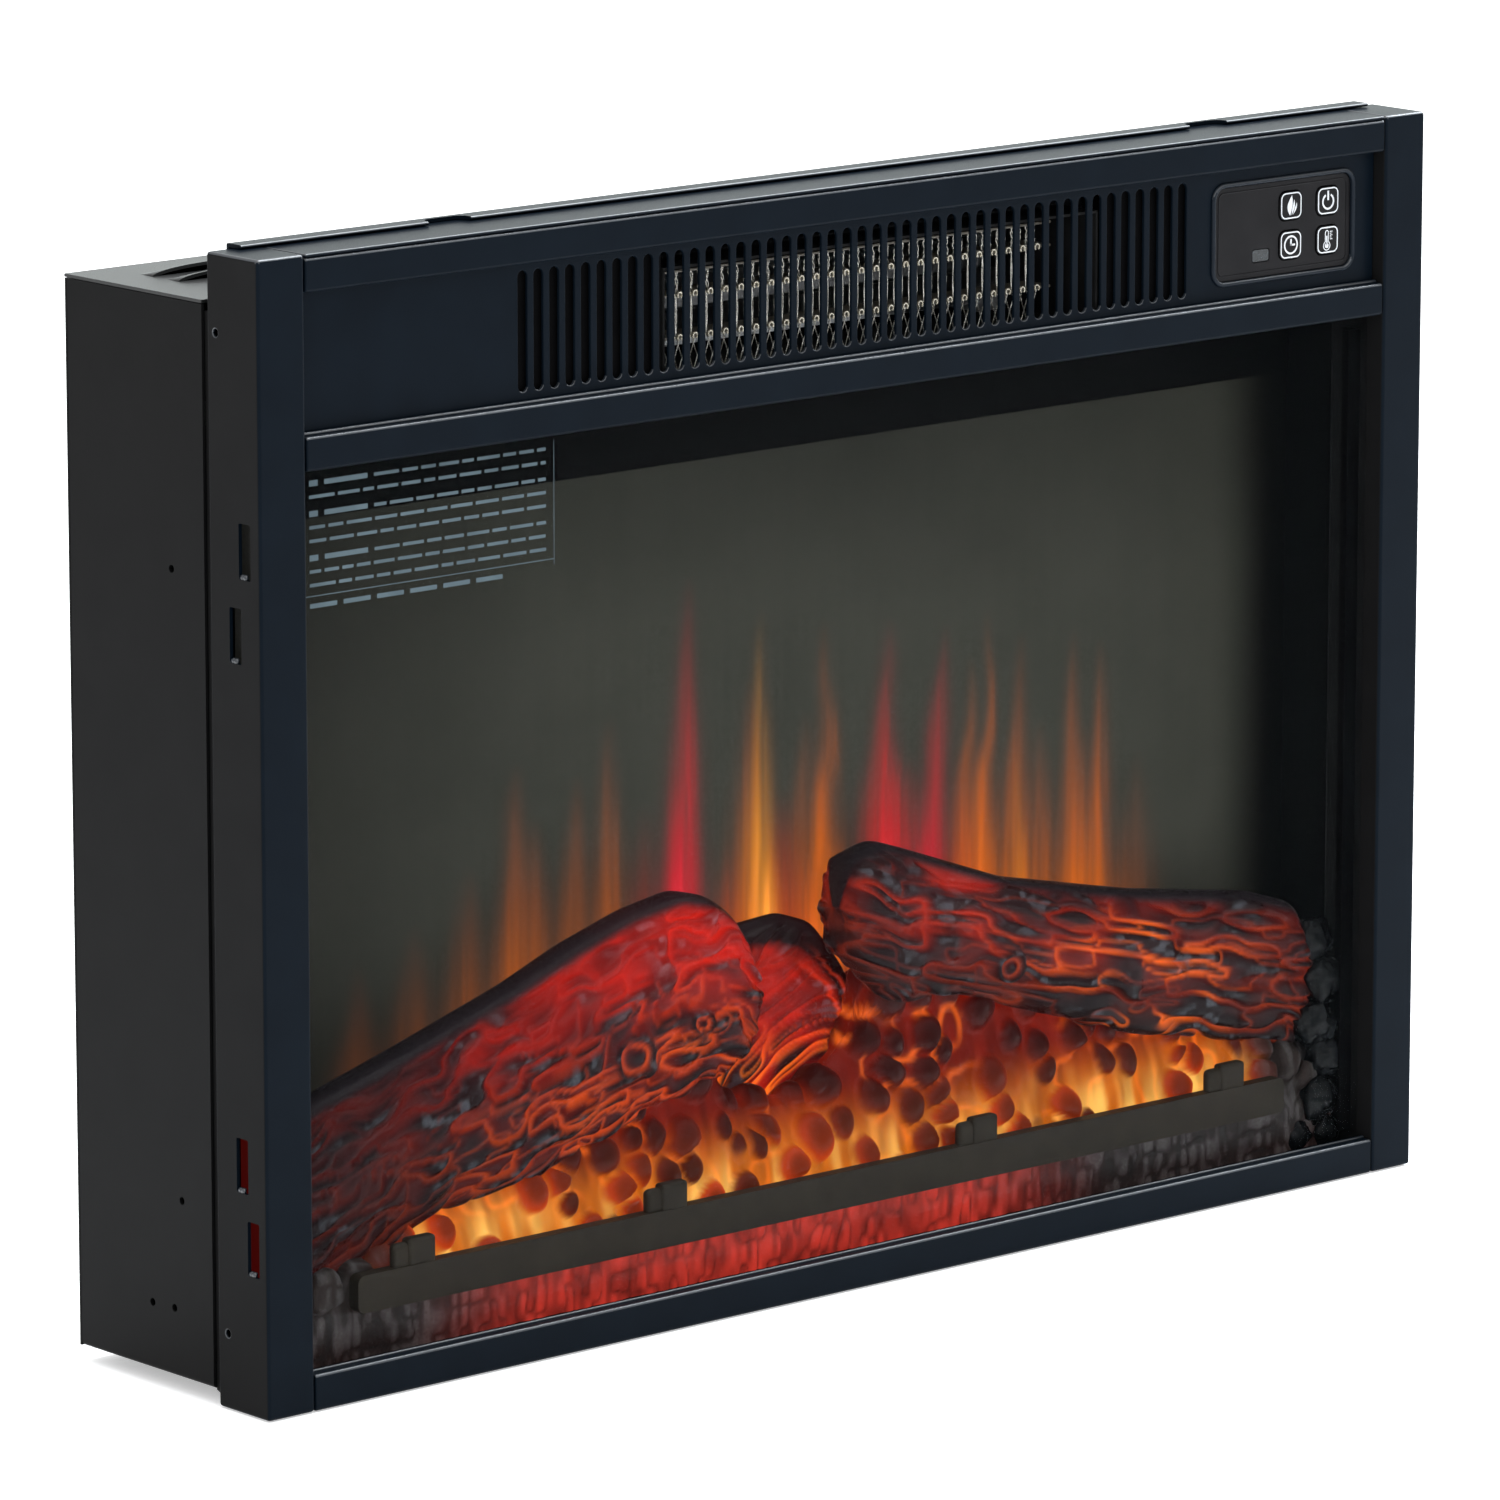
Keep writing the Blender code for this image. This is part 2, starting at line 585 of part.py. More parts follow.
def build_ember_bed():
    """Moulded shell, open underneath, over the log lights; its front carries the grate bar."""
    stations = 41
    foot = CHAMBER_FLOOR_Z + SHEET + GAP
    back, wall, ripple = BED_BACK, BED_WALL, 0.8
    rings = []
    for number in range(stations):
        x = BED_HALF * (2 * number / (stations - 1) - 1)
        top = ember_height(x)
        brow, shoulder = 0.8 * top, 0.93 * top
        front = BED_FRONT + ripple * (1 + math.sin(x / 5.0))
        outer = [(front, foot), (front, brow), (front + 3, shoulder), (front + 9, top), (back - 10, top),
                 (back - 1.5, shoulder), (back, foot)]
        inner = [(back - wall, foot), (back - 1.5 - wall, shoulder - wall), (back - 10, top - wall),
                 (front + 9, top - wall), (front + 3 + wall, shoulder - wall), (front + wall, brow - wall),
                 (front + wall, foot)]
        rings.append([(x, depth, z) for depth, z in outer + inner])
    loft("ember_bed", rings, "ember_resin", smooth=60)


def build_grate_bar():
    """Cast bar with four lugs across the front of the ember bed, which holds it."""
    (left, right), (low, high) = BAR_X, BAR_Z
    corner, taper = 3.0, 2.0
    outline = [(left, low), (left, high - corner), (left + corner, high)]
    for x in LUG_CENTRES:
        outline += [(x - LUG_HALF, high), (x - LUG_HALF + taper, LUG_TOP), (x + LUG_HALF - taper, LUG_TOP),
                    (x + LUG_HALF, high)]
    outline += [(right - corner, high), (right, high - corner), (right, low)]
    bar = prism("grate_bar", outline, *BAR_DEPTH, "depth", "cast_iron")
    round_edges(bar, 0.8, 1)


def light_strip(x_high, x_low, face, chip_pitch, rise):
    """Outline of a board with ten light chips on its face; rise is the chips' direction."""
    thick, chip, half = 1.5, 2.0, 2.5
    first = x_high - 14 if rise > 0 else x_high - 20
    strip = [(x_high, face - rise * thick), (x_high, face)]
    for number in range(10):
        x = first - number * chip_pitch
        strip += [(x + half, face), (x + half, face + rise * chip), (x - half, face + rise * chip),
                  (x - half, face)]
    return strip + [(x_low, face), (x_low, face - rise * thick)]


def build_light_boards():
    """Board strips with raised light chips: on the floor under the embers, and over the flame rotor."""
    floor_face = CHAMBER_FLOOR_Z + SHEET + GAP + 1.5
    prism("log_light_board", light_strip(230, -230, floor_face, 48, 1), 30.0, 42.0, "depth", "board_green")
    prism("flame_light_board", light_strip(200, -236, 110.5, 44, -1), 74.0, 86.0, "depth", "board_green")


# ---------------------------------------------------------------- flame projector

def flame_outline(centre, height):
    """Upright flame shape, pointed at the top and round at the bottom."""
    low, half, lean = FLAME_LOW, FLAME_HALF, 3.0
    profile = [(0.55, 0.0), (1.0, 0.16), (0.85, 0.38), (0.5, 0.62), (0.28, 0.84)]
    right = [(centre + half * w, low + height * t) for w, t in profile]
    left = [(centre - half * w + lean, low + height * t + 4) for w, t in reversed(profile)]
    return right + [(centre + 2, low + height)] + left


def turned_section(section, x, turn):
    """Rotor section turned about the rotor's axis, at a place along it."""
    return [(x, ROTOR_AXIS[0] + u * math.cos(turn) - w * math.sin(turn),
             ROTOR_AXIS[1] + u * math.sin(turn) + w * math.cos(turn)) for u, w in section]


def build_flame_rotor():
    """Four foil vanes twisted along a spindle, which scatter the light up the screen."""
    arms, half_thick, rings_along = 4, 0.7, 60
    section = []
    for arm in range(arms):
        angle = TWO_PI * arm / arms
        for reach, across in ((ROTOR_HUB_RADIUS, -half_thick), (ROTOR_RADIUS, -half_thick),
                              (ROTOR_RADIUS, half_thick), (ROTOR_HUB_RADIUS, half_thick)):
            section.append((reach * math.cos(angle) - across * math.sin(angle),
                            reach * math.sin(angle) + across * math.cos(angle)))
    hub = [(ROTOR_HUB_RADIUS * u / math.hypot(u, w), ROTOR_HUB_RADIUS * w / math.hypot(u, w))
           for u, w in section]
    last_turn = TWO_PI * ROTOR_TWIST
    rings = [turned_section(hub, ROTOR_X[0] - 14, 0), turned_section(hub, ROTOR_X[0] - 0.2, 0)]
    for number in range(rings_along + 1):
        share = number / rings_along
        x = ROTOR_X[0] + share * (ROTOR_X[1] - ROTOR_X[0])
        rings.append(turned_section(section, x, last_turn * share))
    rings += [turned_section(hub, x, last_turn) for x in (ROTOR_X[1] + 0.2, ROTOR_MOTOR_X[1] - 6)]
    loft("flame_rotor", rings, "mirror_foil", origin=(0, *ROTOR_AXIS), triangles=True)


def build_flame_projector():
    """Mask with flame openings, the twisted rotor behind it, its motor and its bearing."""
    short, spread = 120, 55
    holes = [flame_outline(x, short + spread * math.sin(1.7 * number + 0.6) ** 2)
             for number, x in enumerate(FLAME_CENTRES)]
    outline = rectangle(-MASK_X, MASK_Z[0], MASK_X, MASK_Z[1])
    prism("flame_mask", outline, *MASK_DEPTH, "depth", "chamber_black", holes=holes)
    build_flame_rotor()
    bore, (near, far) = ROTOR_BORE_RADIUS, ROTOR_MOTOR_X
    can = [(bore, near), (22.0, near), (23.0, near + 1), (23.0, far - 1), (22.0, far), (bore, far)]
    turned("rotor_motor", can, ROTOR_AXIS, "x", "bare_steel", steps=24, smooth=35)
    depth, z = ROTOR_AXIS
    head, half_foot, foot = 8.0, 12.0, CASE_BOTTOM + SHEET + GAP
    outline = [(depth - half_foot, foot), (depth + half_foot, foot)]
    for step in range(5):
        angle = step * math.pi / 4
        outline.append((depth + head * math.cos(angle), z + head * math.sin(angle)))
    prism("rotor_bearing", outline, ROTOR_X[0] - 11, ROTOR_X[0] - 6, "x", "gloss_black",
          holes=[circle(ROTOR_AXIS, bore, 14)])


# ---------------------------------------------------------------- heater and blower

def ribbon_outline(low, high, thick=0.7, pitch=7.0):
    """Zigzag heating ribbon between two boards."""
    margin = 6.0
    count = int((BOARD_X[1] - BOARD_X[0] - 2 * margin) / pitch) * 2
    start = BOARD_X[0] + margin
    line = [(start + i * pitch / 2, low if i % 2 else high - thick) for i in range(count + 1)]
    return line + [(x, z + thick) for x, z in reversed(line)]


def build_heater():
    """Duct with three boards and the ribbons between them, a thermal cut-out and a probe beside it."""
    wall = 1.0
    inner = rectangle(DUCT_X[0] + wall, DUCT_Z[0] + wall, DUCT_X[1] - wall, DUCT_Z[1] - wall)
    outer = rectangle(DUCT_X[0], DUCT_Z[0], DUCT_X[1], DUCT_Z[1])
    front = BACKING_DEPTH + BACKING_SHEET + GAP
    prism("heater_duct", outer, front, DUCT_BACK, "depth", "bare_steel", holes=[inner])
    for name, level in BOARD_LEVELS.items():
        block(name, BOARD_X, BOARD_DEPTH, (level - BOARD_THICKNESS / 2, level + BOARD_THICKNESS / 2), "mica")
    half = BOARD_THICKNESS / 2 + GAP
    top, middle, bottom = BOARD_LEVELS.values()
    prism("heating_ribbon_upper", ribbon_outline(middle + half, top - half), *RIBBON_DEPTH, "depth", "ribbon")
    prism("heating_ribbon_lower", ribbon_outline(bottom + half, middle - half), *RIBBON_DEPTH, "depth", "ribbon")
    body, flange, bore = 7.5, 11.0, 0.4
    face = DUCT_X[0] - 1.5
    cutout = [(bore, face - 13.5), (body, face - 13.5), (body, face - 6.5), (flange, face - 6.5),
              (flange, face), (bore, face)]
    turned("thermal_cutout", cutout, CUTOUT_CENTRE, "x", "gloss_black", steps=16, smooth=35)
    stem, bulb, foot = 1.6, 2.6, 362.0
    probe = [(GAP, foot), (stem, foot), (stem, foot + 26), (bulb, foot + 29), (bulb, foot + 37),
             (1.4, foot + 40), (GAP, foot + 40)]
    turned("temperature_probe", probe, PROBE_CENTRE, "z", "bare_steel", steps=12, smooth=35)


def wheel_blade(number):
    """Curved blade of the cross-flow wheel, seen along its axis."""
    inner, outer = WHEEL_RADIUS - 5.4, WHEEL_RADIUS - 0.6
    sweep, half_thick = 0.35, 0.45
    base = TWO_PI * number / BLADE_COUNT
    side_a, side_b = [], []
    for step in range(3):
        share = step / 2
        radius = inner + (outer - inner) * share
        angle = base + sweep * share * share
        spread = half_thick / radius
        side_a.append((BLOWER_AXIS[0] + radius * math.cos(angle - spread),
                       BLOWER_AXIS[1] + radius * math.sin(angle - spread)))
        side_b.append((BLOWER_AXIS[0] + radius * math.cos(angle + spread),
                       BLOWER_AXIS[1] + radius * math.sin(angle + spread)))
    return side_a + side_b[::-1]


def build_wheel():
    """Two end discs joined by curved blades."""
    low, high, disc = WHEEL_X[0], WHEEL_X[1], 1.6
    bore = SHAFT_RADIUS + GAP
    middle = (0, *BLOWER_AXIS)
    wheel = turned("blower_wheel", [(bore, low), (WHEEL_RADIUS, low), (WHEEL_RADIUS, low + disc),
                                    (bore, low + disc)], BLOWER_AXIS, "x", "matte_metal", steps=24, origin=middle)
    far = turned("wheel_far_disc", [(bore, high - disc), (WHEEL_RADIUS, high - disc), (WHEEL_RADIUS, high),
                                    (bore, high)], BLOWER_AXIS, "x", "matte_metal", steps=24)
    for number in range(BLADE_COUNT):
        blade = prism(f"wheel_blade_{number}", wheel_blade(number), low + disc / 2, high - disc / 2, "x",
                      "matte_metal")
        combine(wheel, blade, "UNION")
    combine(wheel, far, "UNION")


def build_blower():
    """Cross-flow wheel in its housing behind the duct, with the motor on the same shaft."""
    build_wheel()
    depth, z = BLOWER_AXIS
    rod("blower_shaft", BLOWER_AXIS, SHAFT_RADIUS, *SHAFT_X, "x", "bare_steel", steps=14, origin=(0, depth, z))
    first, last, steps = math.radians(-165), math.radians(62), 14
    angles = [first + (last - first) * step / steps for step in range(steps + 1)]
    arc = []
    for radius, order in ((HOUSING_RADIUS, angles), (HOUSING_RADIUS + 1, angles[::-1])):
        arc += [(depth + radius * math.cos(a), z + radius * math.sin(a)) for a in order]
    housing = prism("blower_housing", arc, DUCT_X[0] + 1, DUCT_X[1] - 1, "x", "bare_steel")
    plate, plate_thick, bush_hole = rounded((depth, z), (49.0, 51.0), 6.0), 2.0, SHAFT_RADIUS + 1
    for name, x in (("left", DUCT_X[0]), ("right", DUCT_X[1] - plate_thick)):
        end = prism("housing_end_" + name, plate, x, x + plate_thick, "x", "bare_steel",
                    holes=[circle(BLOWER_AXIS, bush_hole)])
        combine(housing, end, "UNION")
    build_motor()


def build_motor():
    """Shaded-pole motor: laminated core with a coil on one leg and the rotor in its bore."""
    depth, z = BLOWER_AXIS
    core_centre, core_size = (74.0, z), (60.0, 44.0)
    bore = circle(BLOWER_AXIS, MOTOR_ROTOR_RADIUS + 0.5, 20)
    window_low, window_high = 370.0, 394.0
    window = rectangle(52, window_low, 66, window_high)
    prism("motor_core", rounded(core_centre, core_size, 4.0), *MOTOR_X, "x", "bare_steel", holes=[bore, window])
    leg_middle, leg, winding = 48.0, 8.0, 4.5
    low, high = window_low + 1.5, window_high - 1.5
    centre = (sum(MOTOR_X) / 2, leg_middle)
    coil = []
    for outset, level in ((GAP, low), (GAP + winding, low), (GAP + winding, high), (GAP, high)):
        size = (MOTOR_X[1] - MOTOR_X[0] + 2 * outset, leg + 2 * outset)
        coil.append([(u, w, level) for u, w in rounded(centre, size, outset + 0.2)])
    loft("motor_coil", coil, "copper", closed=True)
    near, far, bore = MOTOR_X[0] - 2, MOTOR_X[1] + 2, SHAFT_RADIUS + GAP
    rotor = [(bore, near), (MOTOR_ROTOR_RADIUS, near), (MOTOR_ROTOR_RADIUS, far), (bore, far)]
    turned("motor_rotor", rotor, BLOWER_AXIS, "x", "aluminium", steps=20, smooth=35,
           origin=(sum(MOTOR_X) / 2, depth, z))


def build_main_board():
    """Circuit board with two relays, a transformer and a terminal block on it."""
    low, thick = MAIN_BOARD_Z, 1.8
    board = block("main_board", (-262.0, -132.0), (42.0, 104.0), (low, low + thick), "board_green")
    parts = {
        "relay_one": ((-250, -234), (50, 64), 373),
        "relay_two": ((-228, -212), (50, 64), 373),
        "transformer": ((-200, -172), (60, 86), 386),
        "terminals": ((-164, -140), (50, 62), 370),
    }
    for name, (x, depth, top) in parts.items():
        combine(board, block(name, x, depth, (low + thick / 2, top), "board_green"), "UNION")


# ---------------------------------------------------------------- case

def louvre_lift(x, depth):
    """Height of the pressed louvres above the case top at a point behind their front cuts."""
    for cut in LOUVRE_CUTS:
        behind = depth - cut
        if not -1e-6 <= behind < LOUVRE_REACH:
            continue
        for low, high in LOUVRE_SPANS:
            edge = min(x - low, high - x)
            if edge > 0:
                across = math.sqrt(1 - max(0, 1 - edge / LOUVRE_ROUND) ** 2)
                return LOUVRE_HEIGHT * across * (1 - (behind / LOUVRE_REACH) ** 2)
    return 0.0


def build_case_top():
    """Sheet with two rows of louvres that open forwards, thickened downwards."""
    columns = {-HALF_WIDTH, HALF_WIDTH}
    for low, high in LOUVRE_SPANS:
        for inset in (0, 1.2, 4, LOUVRE_ROUND):
            columns |= {low + inset, high - inset}
    columns = sorted(columns)
    rows = {CASE_FRONT, CASE_BACK}
    for cut in LOUVRE_CUTS:
        rows |= {cut + LOUVRE_REACH * share for share in (0, 0.35, 0.7, 1)}
    rows = sorted(rows)
    points, faces, front_edge, raised = [], [], {}, {}
    for r, depth in enumerate(rows):
        for c, x in enumerate(columns):
            lift = louvre_lift(x, depth)
            raised[r, c] = len(points)
            points.append((x, depth, CASE_TOP + lift))
            if depth in LOUVRE_CUTS and lift > 0:
                front_edge[r, c] = len(points)
                points.append((x, depth, CASE_TOP))
    for r in range(len(rows) - 1):
        for c in range(len(columns) - 1):
            far = [front_edge.get((r + 1, c + k), raised[r + 1, c + k]) for k in (1, 0)]
            faces.append((raised[r, c], raised[r, c + 1], *far))
    top = solid("case_top", points, faces, "case_black", smooth=40)
    for polygon in top.data.polygons:
        if polygon.normal.z < 0:
            polygon.flip()
    sheet = top.modifiers.new("Solidify", "SOLIDIFY")
    sheet.thickness = SHEET * MM
    sheet.offset = -1.0


def build_case():
    build_case_top()
    outer, low, high, fold = HALF_WIDTH, CASE_BOTTOM, CASE_TOP - SHEET - GAP, 1.5
    section = [(-outer, high), (-outer, low + fold), (-outer + fold, low), (outer - fold, low),
               (outer, low + fold), (outer, high), (outer - SHEET, high), (outer - SHEET, low + SHEET),
               (-outer + SHEET, low + SHEET), (-outer + SHEET, high)]
    back = CASE_BACK - SHEET
    shell = prism("case_shell", section, CASE_FRONT, back - GAP, "depth", "case_black")
    through = 4.0
    for side in (-1, 1):
        for number, centre in enumerate(CASE_SIDE_HOLES):
            cutter = prism(f"case_cut_{side}_{number}", circle(centre, CASE_HOLE_RADIUS, 10),
                           side * (outer - through), side * (outer + through), "x", "case_black")
            combine(shell, cutter, "DIFFERENCE")
    vents = [obround((VENT_PITCH * number, VENT_MIDDLE_Z), VENT_SIZE, 3)
             for number in range(-VENTS_EACH_SIDE, VENTS_EACH_SIDE + 1)]
    gland_hole = circle(GLAND_CENTRE, 6.0, 16)
    prism("back_panel", rectangle(-outer, low, outer, high), back, CASE_BACK, "depth", "case_black",
          holes=vents + [gland_hole])
    gland = [(3.2, back - 3.0), (8.0, back - 3.0), (8.0, back - GAP), (5.7, back - GAP), (5.7, CASE_BACK + GAP),
             (8.5, CASE_BACK + GAP), (8.0, CASE_BACK + 2.5), (4.6, GLAND_TIP), (3.2, GLAND_TIP)]
    turned("cord_gland", gland, GLAND_CENTRE, "depth", "rubber", steps=20, smooth=35)
    bore, radius = 2.0, 12.0
    foot = [(bore, 0.0), (radius - 1.5, 0.0), (radius - 0.5, 1.0), (radius, FOOT_HEIGHT), (bore, FOOT_HEIGHT)]
    for name, side in (("left", -1), ("right", 1)):
        turned("rear_foot_" + name, foot, (side * FOOT_X, FOOT_DEPTH), "z", "rubber", steps=20, smooth=35)


# ---------------------------------------------------------------- assembly

for old in list(bpy.data.objects):
    bpy.data.objects.remove(old, do_unlink=True)

MATERIALS = {name: make_material(name) for name in PALETTE}
BASE = bpy.data.objects.new("insert_base", None)
bpy.context.scene.collection.objects.link(BASE)

build_stile("frame_stile_left", -1)
build_stile("frame_stile_right", 1)
build_rails()
build_mounting_plate()
build_trim_strip()
build_grille()
build_controls()
build_chamber()
build_log_set()
build_ember_bed()
build_grate_bar()
build_light_boards()
build_flame_projector()
build_heater()
build_blower()
build_main_board()
build_case()
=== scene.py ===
"""Looks of the electric fireplace insert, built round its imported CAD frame.

Sizes are in millimetres. A point is (x, depth, z): x runs to the right along the front,
depth runs back from the front face and z runs up. place() turns points into metres.
"""

import itertools
import json
import math

import bmesh
import bpy
import numpy as np
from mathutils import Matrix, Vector
from mathutils.geometry import tessellate_polygon


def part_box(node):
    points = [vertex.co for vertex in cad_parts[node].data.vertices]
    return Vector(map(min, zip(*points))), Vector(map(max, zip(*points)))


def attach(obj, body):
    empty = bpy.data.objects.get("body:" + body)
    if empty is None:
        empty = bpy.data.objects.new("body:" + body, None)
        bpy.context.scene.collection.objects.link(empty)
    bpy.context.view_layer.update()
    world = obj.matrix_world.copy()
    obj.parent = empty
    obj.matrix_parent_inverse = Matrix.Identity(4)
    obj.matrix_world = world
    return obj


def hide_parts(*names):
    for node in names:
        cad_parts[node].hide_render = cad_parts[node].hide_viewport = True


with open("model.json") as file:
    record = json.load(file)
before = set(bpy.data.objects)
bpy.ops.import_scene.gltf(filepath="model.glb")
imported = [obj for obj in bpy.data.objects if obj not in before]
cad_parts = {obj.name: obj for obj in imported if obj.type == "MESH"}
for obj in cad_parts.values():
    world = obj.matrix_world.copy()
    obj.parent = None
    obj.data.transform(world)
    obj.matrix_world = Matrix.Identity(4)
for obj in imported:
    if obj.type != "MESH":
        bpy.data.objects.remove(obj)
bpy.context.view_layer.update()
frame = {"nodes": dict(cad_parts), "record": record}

MM = 0.001
TWO_PI = 2 * math.pi
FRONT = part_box("frame_stile_left")[0].y      # metres
BODY = "insert"


def place(points):
    """Points in millimetres, (..., 3), in metres."""
    points = np.asarray(points, float)
    return np.stack([points[..., 0] * MM, FRONT + points[..., 1] * MM, points[..., 2] * MM], -1)


def extent(node):
    """A CAD node's limits along x, depth and z, in millimetres."""
    low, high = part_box(node)
    return ((low.x / MM, high.x / MM), ((low.y - FRONT) / MM, (high.y - FRONT) / MM),
            (low.z / MM, high.z / MM))


def middle(span):
    """Halfway between the two limits of a span."""
    return (span[0] + span[1]) / 2


# ---------------------------------------------------------------- repeatable noise

def scatter(cells, seed):
    """A random number from 0 to 1 for each whole-number cell (..., 3), the same each run."""
    mask = 0xFFFFFFFF
    n = (cells[..., 0] * 73856093) ^ (cells[..., 1] * 19349663) ^ (cells[..., 2] * 83492791)
    n = (n ^ (seed * 374761393)) & mask
    n = ((n ^ (n >> 13)) * 1274126177) & mask
    n = ((n ^ (n >> 15)) * 668265263) & mask
    return ((n ^ (n >> 16)) & 0xFFFFFF) / 0x1000000


def soft_noise(points, seed):
    """Smooth noise from -1 to 1 at points (..., 3), with one random value per unit."""
    base = np.floor(points).astype(np.int64)
    share = points - base
    share = share ** 3 * (share * (share * 6 - 15) + 10)
    total = 0
    for corner in itertools.product((0, 1), repeat=3):
        weight = np.prod(np.where(corner, share, 1 - share), axis=-1)
        total = total + weight * scatter(base + np.array(corner), seed)
    return 2 * total - 1


def on_front(x, z):
    """Points (..., 3) for a noise that varies over the front but not with depth."""
    return np.stack([x, z, 0 * x], -1)


def layered(points, octaves, seed):
    """Soft noise with finer and weaker layers on it."""
    total = 0
    for octave in range(octaves):
        total = total + soft_noise(points * 2 ** octave, seed + octave) / 2 ** octave
    return total / 1.6


def front_noise(x, z, wide, high, seed):
    """Soft noise over the front whose lumps have a given width and height."""
    return soft_noise(on_front(x / wide, z / high), seed)


def patchy(x, z, wide, high, seed):
    """Uneven patches over the front, from about 0 to about 1."""
    return 0.5 + 0.5 * layered(on_front(x / wide, z / high), 2, seed)


def pebbles(points, seed):
    """Distances over the front to the two nearest scattered centres, and the nearest one's number."""
    base = np.floor(points).astype(np.int64)
    first = np.full(points.shape[:-1], 9.0)
    second, mark = first.copy(), np.zeros_like(first)
    for shift in itertools.product((-1, 0, 1), (-1, 0, 1), (0,)):
        cell = base + np.array(shift)
        centre = cell[..., :2] + np.stack([scatter(cell, seed), scatter(cell, seed + 1)], -1)
        distance = np.linalg.norm(points[..., :2] - centre, axis=-1)
        closer = distance < first
        second = np.where(closer, first, np.minimum(second, distance))
        mark = np.where(closer, scatter(cell, seed + 7), mark)
        first = np.where(closer, distance, first)
    return first, second, mark


def ease(value, low, high):
    """0 below low, 1 above high, with a smooth step between them."""
    share = np.clip((np.asarray(value, float) - low) / (high - low), 0, 1)
    return share * share * (3 - 2 * share)


def bell(value, centre, width):
    """1 at the centre, falling off smoothly on both sides."""
    return np.exp(-((value - centre) / width) ** 2)


def scaled(colour, share):
    """Colour, (..., 3), times a share (...)."""
    return np.asarray(colour) * np.asarray(share)[..., None]


def blended(low, high, share):
    """Colour between two, (..., 3), by a share (...)."""
    return scaled(low, 1 - share) + scaled(high, share)


# ---------------------------------------------------------------- materials

EVEN, UPRIGHT_LINES, LEVEL_LINES = (1, 1, 1), (1, 1, 0.05), (0.05, 1, 1)   # stretch of the grain


def add(tree, kind, inputs=(), **settings):
    """New node with its settings; an input is given by a value or by another node's socket."""
    node = tree.nodes.new(kind)
    for key, value in settings.items():
        setattr(node, key, value)
    for key, value in dict(inputs).items():
        if isinstance(value, bpy.types.NodeSocket):
            tree.links.new(value, node.inputs[key])
        else:
            node.inputs[key].default_value = value
    return node


def grain(tree, scale, detail, stretch):
    """Noise over the object's own coordinates; scale is in cells per metre."""
    mapped = add(tree, "ShaderNodeMapping", {"Vector": own_coordinates(tree), "Scale": stretch})
    noise = add(tree, "ShaderNodeTexNoise", {"Vector": mapped.outputs[0], "Scale": scale, "Detail": detail})
    return noise.outputs[0]


def ramp(tree, share, stops):
    """Colour ramp over (position, colour) stops."""
    node = add(tree, "ShaderNodeValToRGB", {0: share})
    elements = node.color_ramp.elements
    while len(elements) < len(stops):
        elements.new(0.5)
    for element, (position, colour) in zip(elements, stops):
        element.position = position
        element.color = (*colour, 1.0)
    return node.outputs[0]


def spread(tree, share, low, high):
    """Noise output mapped to a range."""
    node = add(tree, "ShaderNodeMapRange", {0: share, 1: 0.3, 2: 0.7, 3: low, 4: high})
    return node.outputs[0]


def relief(tree, height, depth):
    """Bump from a height, with its depth in millimetres."""
    inputs = {"Height": height, "Distance": depth * MM, "Strength": 1.0}
    return add(tree, "ShaderNodeBump", inputs).outputs[0]


def own_coordinates(tree):
    """The object's own coordinates, which its material moves with."""
    return add(tree, "ShaderNodeTexCoord").outputs["Object"]


def principled(name, grit, detail, stretch, roughness, depth, gloss=0.5, metallic=0.0, coat=0.0,
               coat_roughness=0.03):
    """Principled material with uneven roughness and fine relief; also its fine grain, for the colour."""
    material = bpy.data.materials.new(name + "_look")
    material.use_nodes = True
    tree = material.node_tree
    inputs = tree.nodes["Principled BSDF"].inputs
    fine = grain(tree, grit, detail, stretch)
    tree.links.new(spread(tree, fine, *roughness), inputs["Roughness"])
    tree.links.new(relief(tree, fine, depth), inputs["Normal"])
    levels = {"Specular IOR Level": gloss, "Metallic": metallic, "Coat Weight": coat,
              "Coat Roughness": coat_roughness}
    for key, value in levels.items():
        inputs[key].default_value = value
    return material, tree, inputs, fine


def finish(name, dark, light, roughness, patch=60.0, grit=2500.0, depth=0.02, stretch=EVEN, **levels):
    """Solid finish with patchy colour."""
    material, tree, inputs, _ = principled(name, grit, 2.0, stretch, roughness, depth, **levels)
    patches = grain(tree, patch, 4.0, stretch)
    tree.links.new(ramp(tree, patches, [(0.3, dark), (0.7, light)]), inputs["Base Color"])
    return material


def glowing(name, roughness, grit=900.0, depth=0.15, **levels):
    """Moulded resin lit from inside: its own tone and glow are stored at each point."""
    material, tree, inputs, fine = principled(name, grit, 3.0, EVEN, roughness, depth, **levels)
    tone = add(tree, "ShaderNodeAttribute", attribute_name="tone").outputs["Color"]
    glow = add(tree, "ShaderNodeAttribute", attribute_name="glow").outputs["Color"]
    mottle = ramp(tree, fine, [(0.25, (0.7, 0.7, 0.7)), (0.75, (1.2, 1.2, 1.2))])
    mixed = add(tree, "ShaderNodeMix", {0: 1.0, 6: tone, 7: mottle}, data_type="RGBA", blend_type="MULTIPLY")
    tree.links.new(mixed.outputs[2], inputs["Base Color"])
    tree.links.new(glow, inputs["Emission Color"])
    inputs["Emission Strength"].default_value = 1.0
    return material


def brushed(name, dark, light, roughness):
    """Metal with rolling lines along its width."""
    return finish(name, dark, light, roughness, patch=90.0, grit=1500.0, depth=0.01, stretch=LEVEL_LINES,
                  metallic=1.0)


def pane_glass(name):
    """Clear pane: mostly see-through, with a faint even smear over its gloss."""
    material = finish(name, (0.006, 0.008, 0.009), (0.009, 0.011, 0.012), (0.03, 0.07), grit=40.0, depth=0.0,
                      gloss=0.02)
    material.node_tree.nodes["Principled BSDF"].inputs["Alpha"].default_value = 0.10
    return material


